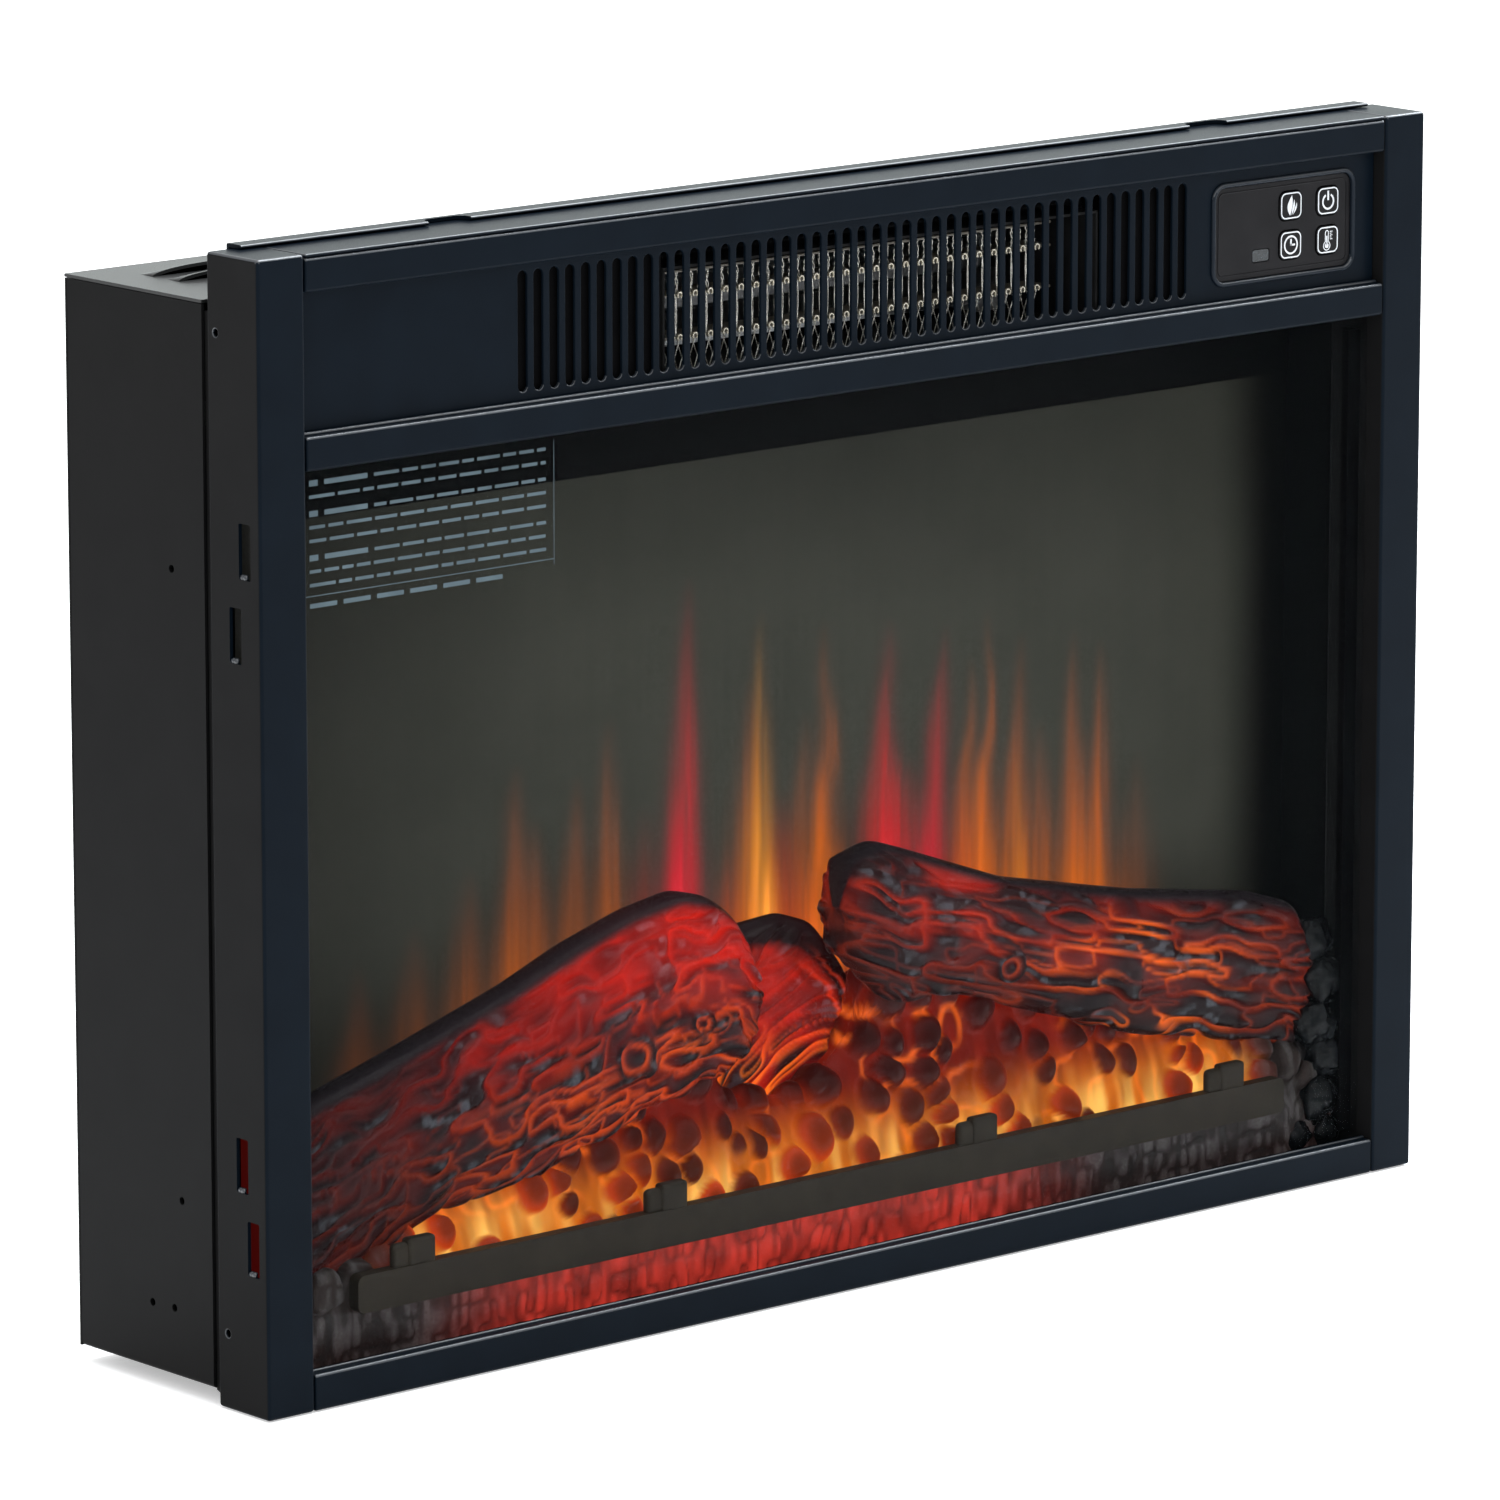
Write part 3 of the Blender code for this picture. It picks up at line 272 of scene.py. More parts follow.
def recoloured(material, colour):
    """Puts another colour on a finish."""
    tree = material.node_tree
    tree.links.new(colour, tree.nodes["Principled BSDF"].inputs["Base Color"])
    return material


def dotted(name, dark, light):
    """Grey window with a fine dotted print."""
    material = finish(name, dark, dark, (0.25, 0.35), grit=1500.0)
    tree = material.node_tree
    dots = add(tree, "ShaderNodeTexVoronoi", {"Vector": own_coordinates(tree), "Scale": 1800.0,
                                              "Randomness": 0.35})
    return recoloured(material, ramp(tree, dots.outputs["Distance"], [(0.25, light), (0.45, dark)]))


def circuit(name):
    """Green solder mask with paler traces under it."""
    material = finish(name, (0.010, 0.055, 0.025), (0.016, 0.080, 0.036), (0.30, 0.42), grit=900.0)
    tree = material.node_tree
    traces = add(tree, "ShaderNodeTexBrick", {"Vector": own_coordinates(tree), "Scale": 160.0,
                                              "Mortar Size": 0.03, "Color1": (0.010, 0.055, 0.025, 1),
                                              "Color2": (0.014, 0.070, 0.030, 1),
                                              "Mortar": (0.035, 0.150, 0.065, 1)})
    return recoloured(material, traces.outputs["Color"])


def greys(name, dark, light, roughness, **options):
    """Finish in neutral greys, given by one number each."""
    return finish(name, (dark,) * 3, (light,) * 3, roughness, **options)


SATIN, DULL = 0.035, 0.03            # gloss of the black paints, far below a clean metal's 0.5
RESIN = {"gloss": 0.01, "coat": 0.13, "coat_roughness": 0.17}


def make_materials():
    """All looks by name; most carry the name of their slot in the record."""
    made = [
        # the frame paint's blue tint stands in for bluish light reflected by the front faces: painted
        # reflection
        finish("frame_paint", (0.0026, 0.0050, 0.0084), (0.0032, 0.0061, 0.0101), (0.30, 0.42), gloss=SATIN),
        # lighter, glossier copy of the frame paint for upward-facing rounded edges: painted highlight
        finish("frame_edge", (0.0100, 0.0140, 0.0190), (0.0150, 0.0195, 0.0250), (0.30, 0.40), grit=1800.0,
               gloss=0.85),
        # neutral, lighter copy of the frame paint for sideways faces: painted light
        finish("frame_side_paint", (0.0082, 0.0082, 0.0084), (0.0095, 0.0095, 0.0097), (0.42, 0.52),
               gloss=DULL),
        finish("frame_plastic", (0.0070, 0.0105, 0.0160), (0.0090, 0.0130, 0.0185), (0.26, 0.36), grit=1800.0,
               gloss=0.10),
        finish("case_paint", (0.0040, 0.0040, 0.0041), (0.0050, 0.0050, 0.0051), (0.38, 0.48), gloss=0.05),
        # lighter copy of the case paint for the top sheet: painted sheen
        finish("case_top_paint", (0.0090, 0.0095, 0.0092), (0.0115, 0.0120, 0.0117), (0.34, 0.46),
               gloss=0.34),
        finish("chamber_paint", (0.0010, 0.0010, 0.0012), (0.0018, 0.0018, 0.0020), (0.60, 0.75),
               gloss=DULL),
        finish("overlay", (0.0064, 0.0062, 0.0070), (0.0105, 0.0100, 0.0110), (0.36, 0.46), grit=2200.0,
               depth=0.03, gloss=0.08),
        finish("keys", (0.0025, 0.0025, 0.0030), (0.0040, 0.0040, 0.0045), (0.12, 0.20), grit=1200.0,
               depth=0.004, gloss=0.12),
        finish("key_print", (0.58, 0.60, 0.62), (0.70, 0.72, 0.74), (0.40, 0.50), grit=3000.0),
        dotted("infrared", (0.008, 0.011, 0.013), (0.10, 0.14, 0.155)),
        circuit("circuit_board"),
        pane_glass("glass"),
        glowing("flame_screen", (0.42, 0.55), grit=700.0, depth=0.01, gloss=DULL),
        glowing("log_resin", (0.22, 0.36), depth=0.05, **RESIN),
        glowing("ember_resin", (0.26, 0.40), depth=0.10, **RESIN),
        finish("grate_iron", (0.0190, 0.0150, 0.0100), (0.0270, 0.0220, 0.0150), (0.50, 0.66), patch=120.0,
               grit=1400.0, depth=0.05, gloss=0.12),
        finish("rotor_foil", (0.70, 0.71, 0.73), (0.82, 0.83, 0.85), (0.06, 0.16), metallic=1.0, patch=400.0,
               grit=300.0, depth=0.12),
        brushed("bare_steel", (0.40, 0.41, 0.42), (0.55, 0.55, 0.55), (0.28, 0.42)),
        finish("black_plastic", (0.012, 0.012, 0.013), (0.020, 0.020, 0.021), (0.38, 0.50), grit=1500.0,
               gloss=0.2),
        finish("mica", (0.08, 0.07, 0.05), (0.17, 0.15, 0.115), (0.30, 0.45), patch=500.0, grit=1200.0,
               depth=0.05, gloss=0.7),
        finish("heating_ribbon", (0.80, 0.77, 0.68), (0.97, 0.94, 0.86), (0.22, 0.34), metallic=0.75,
               patch=400.0),
        finish("crimp_brass", (0.66, 0.60, 0.46), (0.97, 0.92, 0.78), (0.20, 0.34), metallic=0.75,
               patch=500.0),
        # near-black steel for the heater duct: painted shade inside the case
        greys("duct_steel", 0.014, 0.024, (0.45, 0.58), metallic=0.2, gloss=DULL),
        brushed("aluminium", (0.52, 0.53, 0.55), (0.68, 0.69, 0.70), (0.30, 0.44)),
        finish("copper_wire", (0.42, 0.15, 0.06), (0.62, 0.26, 0.11), (0.22, 0.34), metallic=1.0, grit=2000.0,
               stretch=UPRIGHT_LINES, depth=0.12),
        greys("rubber", 0.010, 0.017, (0.70, 0.82), grit=1800.0, depth=0.04, gloss=0.15),
        finish("zinc_screw", (0.10, 0.10, 0.11), (0.18, 0.18, 0.19), (0.28, 0.40), metallic=1.0, grit=2600.0),
        finish("clear_resin", (0.003, 0.0035, 0.004), (0.008, 0.009, 0.010), (0.20, 0.30), grit=300.0,
               depth=0.04, gloss=0.05, coat=0.12, coat_roughness=0.12),
        finish("label_print", (0.068, 0.094, 0.108), (0.098, 0.134, 0.152), (0.5, 0.6), grit=3000.0,
               gloss=DULL),
        greys("floor_white", 0.86, 0.88, (0.85, 0.95), patch=4.0, grit=80.0, gloss=0.0),
    ]
    return {material.name.removesuffix("_look"): material for material in made}


MATERIALS = make_materials()


# ---------------------------------------------------------------- mesh tools

def settle(thing, material, body, replaces):
    """Gives a finished mesh object its material, its body and the CAD nodes it stands for."""
    thing.data.materials.clear()
    thing.data.materials.append(MATERIALS[material])
    bpy.context.scene.collection.objects.link(thing)
    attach(thing, body)
    if replaces:
        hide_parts(*replaces)
    return thing


def mesh_of(name, points, faces):
    """Mesh from points in millimetres, with its faces turned outwards."""
    mesh = bpy.data.meshes.new(name)
    mesh.from_pydata(place(points).reshape(-1, 3).tolist(), [], faces)
    work = bmesh.new()
    work.from_mesh(mesh)
    bmesh.ops.recalc_face_normals(work, faces=work.faces)
    work.to_mesh(mesh)
    work.free()
    return mesh


def piece(name, points, faces, material, slot=None, body=BODY, replaces=(), smooth=None, colours=None):
    """Visible mesh object. colours holds arrays of point colours by attribute name."""
    mesh = mesh_of(name, points, faces)
    for key, values in (colours or {}).items():
        layer = mesh.color_attributes.new(key, "FLOAT_COLOR", "POINT")
        rgba = np.ones((len(mesh.vertices), 4), np.float32)
        rgba[:, :3] = np.reshape(values, (-1, 3))
        layer.data.foreach_set("color", rgba.ravel())
    if smooth is not None:
        mesh.shade_smooth()
        if smooth < 180:
            mesh.set_sharp_from_angle(angle=math.radians(smooth))
    thing = bpy.data.objects.new(name, mesh)
    return settle(thing, material, body, replaces)


def applied(thing):
    """Replaces an object's mesh by the one its modifiers make."""
    bpy.context.view_layer.update()
    shape = thing.evaluated_get(bpy.context.evaluated_depsgraph_get())
    made = bpy.data.meshes.new_from_object(shape)
    thing.modifiers.clear()
    thing.data = made
    return thing


def even_shading(thing):
    """Keeps flat faces flat in shading where they meet a small rounded edge."""
    thing.data.shade_smooth()
    thing.data.set_sharp_from_angle(angle=math.radians(40))
    modifier = thing.modifiers.new("Weighted", "WEIGHTED_NORMAL")
    modifier.keep_sharp = True
    modifier.weight = 100
    return applied(thing)


def bevelled(thing, width, segments=4):
    """Rounds an object's edges."""
    modifier = thing.modifiers.new("Bevel", "BEVEL")
    modifier.width = width * MM
    modifier.segments = segments
    modifier.limit_method = "ANGLE"
    return applied(thing)


def cut(thing, cutters):
    """Takes the cutters, closed mesh objects, out of an object and removes them."""
    for cutter in cutters:
        modifier = thing.modifiers.new("Cut", "BOOLEAN")
        modifier.operation = "DIFFERENCE"
        modifier.object = cutter
    applied(thing)
    for cutter in cutters:
        bpy.data.objects.remove(cutter, do_unlink=True)
    return thing


def rectangle(low_u, low_w, high_u, high_w):
    """Outline in a plane, anticlockwise."""
    return [(low_u, low_w), (high_u, low_w), (high_u, high_w), (low_u, high_w)]


def rounded(centre, size, radius, steps=8):
    """Rectangle with round corners, anticlockwise."""
    half_u, half_w = size[0] / 2 - radius, size[1] / 2 - radius
    points = []
    for corner, (side_u, side_w) in enumerate([(1, 1), (-1, 1), (-1, -1), (1, -1)]):
        for step in range(steps + 1):
            angle = (corner + step / steps) * math.pi / 2
            points.append((centre[0] + side_u * half_u + radius * math.cos(angle),
                           centre[1] + side_w * half_w + radius * math.sin(angle)))
    return points


def obround(centre, size):
    """Slot outline with half-round ends."""
    return rounded(centre, size, min(size) / 2 - 0.001, 6)


def quarter(steps):
    """Angles from 0 to a quarter turn."""
    return [step / steps * math.pi / 2 for step in range(steps + 1)]


def turn(steps):
    """Angles round a whole turn, without the last."""
    return [TWO_PI * step / steps for step in range(steps)]


def circle(centre, radius, steps=28):
    """Round outline."""
    return [(centre[0] + radius * math.cos(a), centre[1] + radius * math.sin(a)) for a in turn(steps)]


TO_POINT = {
    "x": lambda u, w, t: (t, u, w),
    "depth": lambda u, w, t: (u, t, w),
    "z": lambda u, w, t: (u, w, t),
}


def layers_of(loops_at, levels, along):
    """Points and faces of a solid whose outline and holes follow levels from front to back.

    loops_at(level) gives the outline and holes there, always with the same number of points.
    """
    to_point = TO_POINT[along]
    points, sizes = [], []
    for level in levels:
        loops = loops_at(level)
        sizes = [len(loop) for loop in loops]
        points += [to_point(u, w, level[0]) for loop in loops for u, w in loop]
    count = sum(sizes)
    faces = []
    for end, first in ((0, 0), (-1, count * (len(levels) - 1))):
        loops = loops_at(levels[end])
        caps = tessellate_polygon([[Vector((u, w, 0)) for u, w in loop] for loop in loops])
        faces += [tuple(first + i for i in cap) for cap in caps]
    for layer in range(len(levels) - 1):
        first = layer * count
        for size in sizes:
            for i in range(size):
                a, b = first + i, first + (i + 1) % size
                faces.append((a, b, b + count, a + count))
            first += size
    return points, faces


def prism(outline, start, end, along):
    """Points and faces of a straight solid between two levels."""
    return layers_of(lambda level: [outline], [(start,), (end,)], along)


def roll_levels(front, back, roll, steps=3):
    """(depth, inset) levels of a plate whose front edges are rolled over."""
    levels = [(front + roll * (1 - math.cos(a)), roll * (1 - math.sin(a))) for a in quarter(steps)]
    return levels + [(back, 0.0)]


def pierced_plate(name, outer, holes, levels, **options):
    """Plate through (depth, inset) levels; outer and holes are functions of how far they grow."""
    def loops_at(level):
        inset = level[1]
        return [outer(-inset), *[hole(inset) for hole in holes]]
    points, faces = layers_of(loops_at, levels, "depth")
    return even_shading(piece(name, points, faces, **options))


def cutter(outline, start, end, along):
    """Plain closed mesh object, used to cut and then removed."""
    thing = bpy.data.objects.new("cutter", mesh_of("cutter", *prism(outline, start, end, along)))
    bpy.context.scene.collection.objects.link(thing)
    return thing


def block(name, x, depth, z, material, **options):
    """Box piece between its limits."""
    points, faces = prism(rectangle(x[0], z[0], x[1], z[1]), *depth, "depth")
    return piece(name, points, faces, material, **options)


def sheet_faces(rows, columns, round_columns=False, round_rows=False):
    """Quads over a grid of points stored row by row."""
    row, column = np.meshgrid(np.arange(rows - (not round_rows)), np.arange(columns - (not round_columns)),
                              indexing="ij")
    next_row, next_column = (row + 1) % rows, (column + 1) % columns
    quads = [row * columns + column, row * columns + next_column,
             next_row * columns + next_column, next_row * columns + column]
    return np.stack(quads, -1).reshape(-1, 4).tolist()


def tube_faces(rings, sides):
    """Quads round a tube of rings of points, and a face over each end."""
    count = rings * sides
    ends = [list(range(sides)), list(range(count - sides, count))]
    return sheet_faces(rings, sides, round_columns=True) + ends


def tube(path, radius, sides=8):
    """Points and faces of a round bar along a path of points (n, 3), with flat ends."""
    path = np.asarray(path, float)
    along = np.gradient(path, axis=0)
    along /= np.linalg.norm(along, axis=1)[:, None]
    guide = np.array([0.0, 1.0, 0.0]) if abs(along[0, 1]) < 0.9 else np.array([1.0, 0.0, 0.0])
    side = np.cross(along, guide)
    side /= np.linalg.norm(side, axis=1)[:, None]
    other = np.cross(along, side)
    angles = TWO_PI * np.arange(sides) / sides
    rings = (path[:, None] + radius * (np.cos(angles)[None, :, None] * side[:, None]
                                       + np.sin(angles)[None, :, None] * other[:, None]))
    return rings.reshape(-1, 3), tube_faces(len(path), sides)


def joined(shapes):
    """Several (points, faces) shapes as one."""
    points, faces = [], []
    for shape_points, shape_faces in shapes:
        first = len(points)
        points += [tuple(p) for p in shape_points]
        faces += [tuple(first + i for i in face) for face in shape_faces]
    return points, faces


def turned(profile, centre, along, steps=28):
    """Closed (radius, t) profile turned about a line along x, depth or z."""
    points = [TO_POINT[along](centre[0] + r * math.cos(a), centre[1] + r * math.sin(a), t)
              for a in turn(steps) for r, t in profile]
    return points, sheet_faces(steps, len(profile), round_columns=True, round_rows=True)


# ---------------------------------------------------------------- camera, stage and light

def build_stage():
    """Pale floor and a soft dome that is brighter overhead than near the horizon."""
    mesh = bpy.data.meshes.new("floor")
    reach = 30.0
    corners = rectangle(-reach, -reach, reach, reach)
    mesh.from_pydata([(x, y, -0.0005) for x, y in corners], [], [(0, 1, 2, 3)])
    floor = bpy.data.objects.new("floor", mesh)
    mesh.materials.append(MATERIALS["floor_white"])
    bpy.context.scene.collection.objects.link(floor)
    shader = MATERIALS["floor_white"].node_tree.nodes["Principled BSDF"]
    shader.inputs["Emission Color"].default_value = (1, 1, 1, 1)
    shader.inputs["Emission Strength"].default_value = 0.42

    world = bpy.data.worlds.new("studio")
    world.use_nodes = True
    tree = world.node_tree
    direction = add(tree, "ShaderNodeTexCoord").outputs["Generated"]
    height = add(tree, "ShaderNodeSeparateXYZ", {0: direction}).outputs["Z"]
    dome = ramp(tree, height, [(0.0, (0.30, 0.31, 0.33)), (0.25, (0.36, 0.37, 0.39)), (0.8, (1.0, 1.0, 1.0))])
    tree.links.new(dome, tree.nodes["Background"].inputs["Color"])
    tree.nodes["Background"].inputs["Strength"].default_value = 1.35
    bpy.context.scene.world = world


def add_light(name, place_at, aim_at, size, power, colour):
    """Square area light aimed at a point, in metres."""
    light = bpy.data.lights.new(name, "AREA")
    light.shape = "RECTANGLE"
    light.size, light.size_y = size
    light.energy = power
    light.color = colour
    thing = bpy.data.objects.new(name, light)
    thing.location = place_at
    aim = Vector(aim_at) - Vector(place_at)
    thing.rotation_euler = aim.to_track_quat("-Z", "Y").to_euler()
    thing.visible_camera = False
    bpy.context.scene.collection.objects.link(thing)


def build_lights():
    """Soft lamps placed so that the frame, its edges and the case top shine as in the photo."""
    target = (0, 0, 0.2)
    add_light("overhead", (0.0, -0.1, 2.3), target, (2.6, 1.4), 16, (1.0, 0.99, 0.97))
    add_light("edge_box", (1.65, 0.0, 1.85), target, (0.6, 2.6), 120, (0.86, 0.93, 1.0))
    add_light("left_strip", (-2.2, -0.9, 1.7), target, (0.5, 1.0), 7, (1.0, 0.99, 0.98))
    add_light("horizon_box", (2.3, 2.7, 0.85), target, (3.4, 1.3), 26, (0.92, 1.0, 0.96))
    add_light("glint_lamp", (-1.0, -1.9, 1.6), target, (0.20, 0.20), 6.5, (0.86, 0.93, 1.0))


def build_camera():
    """Three-quarter view from the left and a little above."""
    azimuth, elevation, distance = math.radians(-40.9743), math.radians(11.7535), 3.6040
    target = Vector((-0.0603, FRONT, 0.2187))
    data = bpy.data.cameras.new("camera")
    data.sensor_width = 36.0
    data.lens = 230.41
    camera = bpy.data.objects.new("camera", data)
    camera.location = target + distance * Vector((math.sin(azimuth) * math.cos(elevation),
                                                  -math.cos(azimuth) * math.cos(elevation),
                                                  math.sin(elevation)))
    camera.rotation_euler = (math.radians(90) - elevation, 0, azimuth)
    bpy.context.scene.collection.objects.link(camera)
    bpy.context.scene.camera = camera


# ---------------------------------------------------------------- front frame

EDGE = 1.3                       # radius of the frame's rounded edges
HOOK_SLOTS = [(8.9, 321.2), (14.7, 289.9), (14.1, 93.5), (8.0, 63.1)]
HOOK_SLOT_SIZE = (6.8, 20.5)
STILE_SCREWS = [(24.7, 399.0), (23.8, 28.6)]
SCREW_HOLE = 1.9
WALL = 1.5
# tone and painted light of the plates seen behind the hook slots: a red glow for firelight on the lower ones,
# a faint grey glow on the upper ones
SLOT_BACK_PAINTED_LIGHT = {"upper": (0.040, (0.006, 0.006, 0.005)), "lower": (0.004, (0.042, 0.0016, 0.0012))}


def paint_edge_highlights_and_side_light(thing, sides=False):
    """Paints a lighter, glossier copy of the frame paint on upper rounded edges as a painted highlight, and
    if asked a neutral copy on sideways faces as painted light.
    """
    thing.data.materials.append(MATERIALS["frame_edge"])
    thing.data.materials.append(MATERIALS["frame_side_paint"])
    for polygon in thing.data.polygons:
        along = [abs(part) for part in polygon.normal]
        if max(along) < 0.985 and polygon.normal.z > 0.2:
            polygon.material_index = 1
        elif sides and along[0] > 0.9:
            polygon.material_index = 2
    return thing


def build_stile(node, side):
    """Folded box, open to the rear, with rounded edges, hook slots and screw holes."""
    x, depth, z = extent(node)
    outer = abs(x[0] if side < 0 else x[1])
    name = "left" if side < 0 else "right"
    stile = bevelled(block(node + "_shell", x, depth, z, "frame_paint", replaces=[node]), EDGE)
    hollow = rectangle(x[0] + WALL, z[0] + WALL, x[1] - WALL, z[1] - WALL)
    across = (side * outer - 2 * WALL, side * outer + 2 * WALL)
    cutters = [cutter(hollow, WALL, depth[1] + 5, "depth")]
    cutters += [cutter(rounded(centre, HOOK_SLOT_SIZE, 0.7, 3), *across, "x") for centre in HOOK_SLOTS]
    cutters += [cutter(circle(centre, SCREW_HOLE), *across, "x") for centre in STILE_SCREWS]
    # upper edges get a painted highlight and sideways faces a neutral copy of the paint as painted light
    paint_edge_highlights_and_side_light(even_shading(cut(stile, cutters)), sides=True)
    rim = [(SCREW_HOLE + 0.4 * math.cos(a), side * (outer - 0.45 + 0.4 * math.sin(a))) for a in turn(12)]
    rims = [turned(rim, centre, "x") for centre in STILE_SCREWS]
    for centre, tilt in itertools.product(HOOK_SLOTS, (0.9, 2.4)):
        low = centre[1] - HOOK_SLOT_SIZE[1] / 2
        at = side * (outer - WALL + 0.4)
        rims.append(lump((at, centre[0] + tilt, low + 0.5), (1.0, 1.5, 1.4), 5, 12))
    # the screw-hole rims and the lips at the foot of the hook slots take the lighter edge paint: painted
    # highlight
    piece(f"stile_rims_{name}", *joined(rims), "frame_edge", slot="frame_paint", smooth=180)
    # plates behind the hook slots that glow with painted light, red on the lower ones
    for level, (tone, glow) in SLOT_BACK_PAINTED_LIGHT.items():
        lows = [c[1] for c in HOOK_SLOTS if (c[1] > 200) == (level == "upper")]
        near, far = sorted((side * (outer - 7.0), side * (outer - 8.0)))
        points, faces = prism(rectangle(near, min(lows) - 16, far, max(lows) + 16), 3.0, 24.0, "depth")
        piece(f"slot_painted_light_{level}_{name}", points, faces, "flame_screen", slot="frame_paint",
              colours={"tone": np.full((8, 3), tone), "glow": np.tile(glow, (8, 1))})


def screw_head(centre, along, direction, radius):
    """Domed screw head with a cross recess, facing along an axis."""
    rings, steps = 6, 24
    recess_reach, recess_half = 0.62, 0.16
    points = []
    for ring in range(rings + 1):
        share = ring / rings
        for angle in turn(steps):
            u, w = share * math.cos(angle), share * math.sin(angle)
            height = 0.42 * math.sqrt(max(0.0, 1 - 0.9 * share * share))
            in_cross = (min(abs(u), abs(w)) < recess_half) and (max(abs(u), abs(w)) < recess_reach)
            height -= 0.28 if in_cross else 0.0
            points.append((u * radius, w * radius, height * radius))
    points += [(radius * math.cos(angle), radius * math.sin(angle), -0.6 * radius) for angle in turn(steps)]
    faces = sheet_faces(rings + 2, steps, round_columns=True)
    faces.append(list(range((rings + 1) * steps, (rings + 2) * steps)))
    placed = []
    for u, w, t in points:
        offset = TO_POINT[along](u, w, direction * t)
        placed.append(tuple(c + o for c, o in zip(centre, offset)))
    return placed, faces


def rail_profile(low, high, back, bead):
    """Rail seen end on, with round edges and, if asked, a rolled bead behind its top edge."""
    arc = quarter(6)
    top = high - 1.5 * bead
    points = [(back, low)]
    points += [(EDGE - EDGE * math.sin(a), low + EDGE - EDGE * math.cos(a)) for a in arc]
    points += [(EDGE - EDGE * math.cos(a), top - EDGE + EDGE * math.sin(a)) for a in arc]
    if bead:
        points += [(back - bead - bead * math.cos(a), top + bead * math.sin(a)) for a in arc]
        points += [(back - bead + bead * math.sin(a), top + bead * math.cos(a)) for a in arc[1:]]
    else:
        points.append((back, top))
    points += [(back, high - 2 * WALL), (WALL, high - 2 * WALL), (WALL, low + WALL), (back, low + WALL)]
    return points


RAIL_DEPTH = 5.7
RAIL_BEADS = {"frame_rail_top": 0.0, "frame_rail_middle": 1.1, "frame_rail_bottom": 0.8}
BOTTOM_RAIL_TOP = 15.0


def build_rails():
    """Top, middle and bottom rails with softened ends, and the plate that closes the frame's top."""
    for node, bead in RAIL_BEADS.items():
        x, depth, z = extent(node)
        if node == "frame_rail_bottom":
            z = (z[0], BOTTOM_RAIL_TOP)
        profile = rail_profile(*z, RAIL_DEPTH, bead)
        taper = 0.5
        sections = [(x[0], taper), (x[0] + 0.15, 0.5 * taper), (x[0] + taper, 0.0), (x[1] - taper, 0.0),
                    (x[1] - 0.15, 0.5 * taper), (x[1], taper)]
        points = [(at, u + inset * (1 - u / RAIL_DEPTH), w - inset * (0.6 if w > middle(z) else -0.6))
                  for at, inset in sections for u, w in profile]
        size = len(profile)
        faces = sheet_faces(len(sections), size, round_columns=True)
        caps = tessellate_polygon([[Vector((u, w, 0)) for u, w in profile]])
        faces += caps + [[i + size * (len(sections) - 1) for i in cap] for cap in caps]
        paint_edge_highlights_and_side_light(even_shading(piece(node + "_shell", points, faces, "frame_paint", replaces=[node])))
    x, depth, z = extent("frame_rail_bottom")
    bevelled(block("frame_floor_flange", x, (6.0, depth[1]), (z[0], z[0] + WALL), "frame_paint"), 0.4, 2)
    plate = block("frame_top_shell", *extent("frame_top_plate"), "frame_paint", replaces=["frame_top_plate"])
    paint_edge_highlights_and_side_light(even_shading(bevelled(plate, 0.5, 3)))


TRIM_SHEET, TRIM_BEND = 1.4, 0.8
NOTCH_PLACES, NOTCH_SIZE = (-185.0, 196.5), (20.0, 11.0)


def build_trim_strip():
    """Angle strip with a rounded nose and two notches."""
    x, depth, z = extent("top_trim_strip")
    top, under = z[1], z[1] - TRIM_SHEET
    half = (top - under) / 2
    nose = [(depth[0] + half - half * math.cos(a), under + half + half * math.sin(a))
            for a in (math.pi / 2 - math.pi * step / 6 for step in range(7))]
    bend = [(depth[1] + TRIM_BEND * (math.sin(a) - 1), top + TRIM_BEND * (math.cos(a) - 1))
            for a in reversed(quarter(3))]
    inner = depth[1] - TRIM_SHEET
    section = [(depth[1], z[0]), *bend, *nose, (inner, under), (inner, z[0])]
    strip = piece("top_trim_shell", *prism(section, *x, "x"), "frame_paint", replaces=["top_trim_strip"])
    notches = [rounded((at, depth[0]), NOTCH_SIZE, 4.5) for at in NOTCH_PLACES]
    cut(strip, [cutter(notch, under - 2, top + 2, "z") for notch in notches])
    paint_edge_highlights_and_side_light(even_shading(strip))


# ---------------------------------------------------------------- grille and controls

SLOT_COUNT, SLOT_FIRST_X, SLOT_PITCH = 45, -165.0, 7.54
SLOT_SIZE, SLOT_Z = (4.5, 45.0), 388.2
CONTROL_CENTRE, CONTROL_WINDOW, CONTROL_CORNER = (220.9, 388.2), (74.2, 37.5), 5.0
WINDOW = (CONTROL_CENTRE, CONTROL_WINDOW, CONTROL_CORNER)
KEYS = {"key_flame": "flame_key", "key_power": "power_key", "key_timer": "timer_key",
        "key_temperature": "temperature_key"}


def grown_slot(centre, size):
    """Slot as a function of how far it grows."""
    return lambda grow: obround(centre, (size[0] + 2 * grow, size[1] + 2 * grow))


def grown_round(centre, size, radius, steps=8):
    """Rectangle with round corners as a function of how far it grows."""
    return lambda grow: rounded(centre, (size[0] + 2 * grow, size[1] + 2 * grow), radius + grow, steps)


def grown_box(x, z):
    """Sharp rectangle as a function of how far it grows."""
    return lambda grow: rectangle(x[0] - grow, z[0] - grow, x[1] + grow, z[1] + grow)


def front_of(node, margin=0.0):
    """A node's centre and size seen from the front, with a margin added to the size."""
    x, _, z = extent(node)
    return (middle(x), middle(z)), (x[1] - x[0] + margin, z[1] - z[0] + margin)


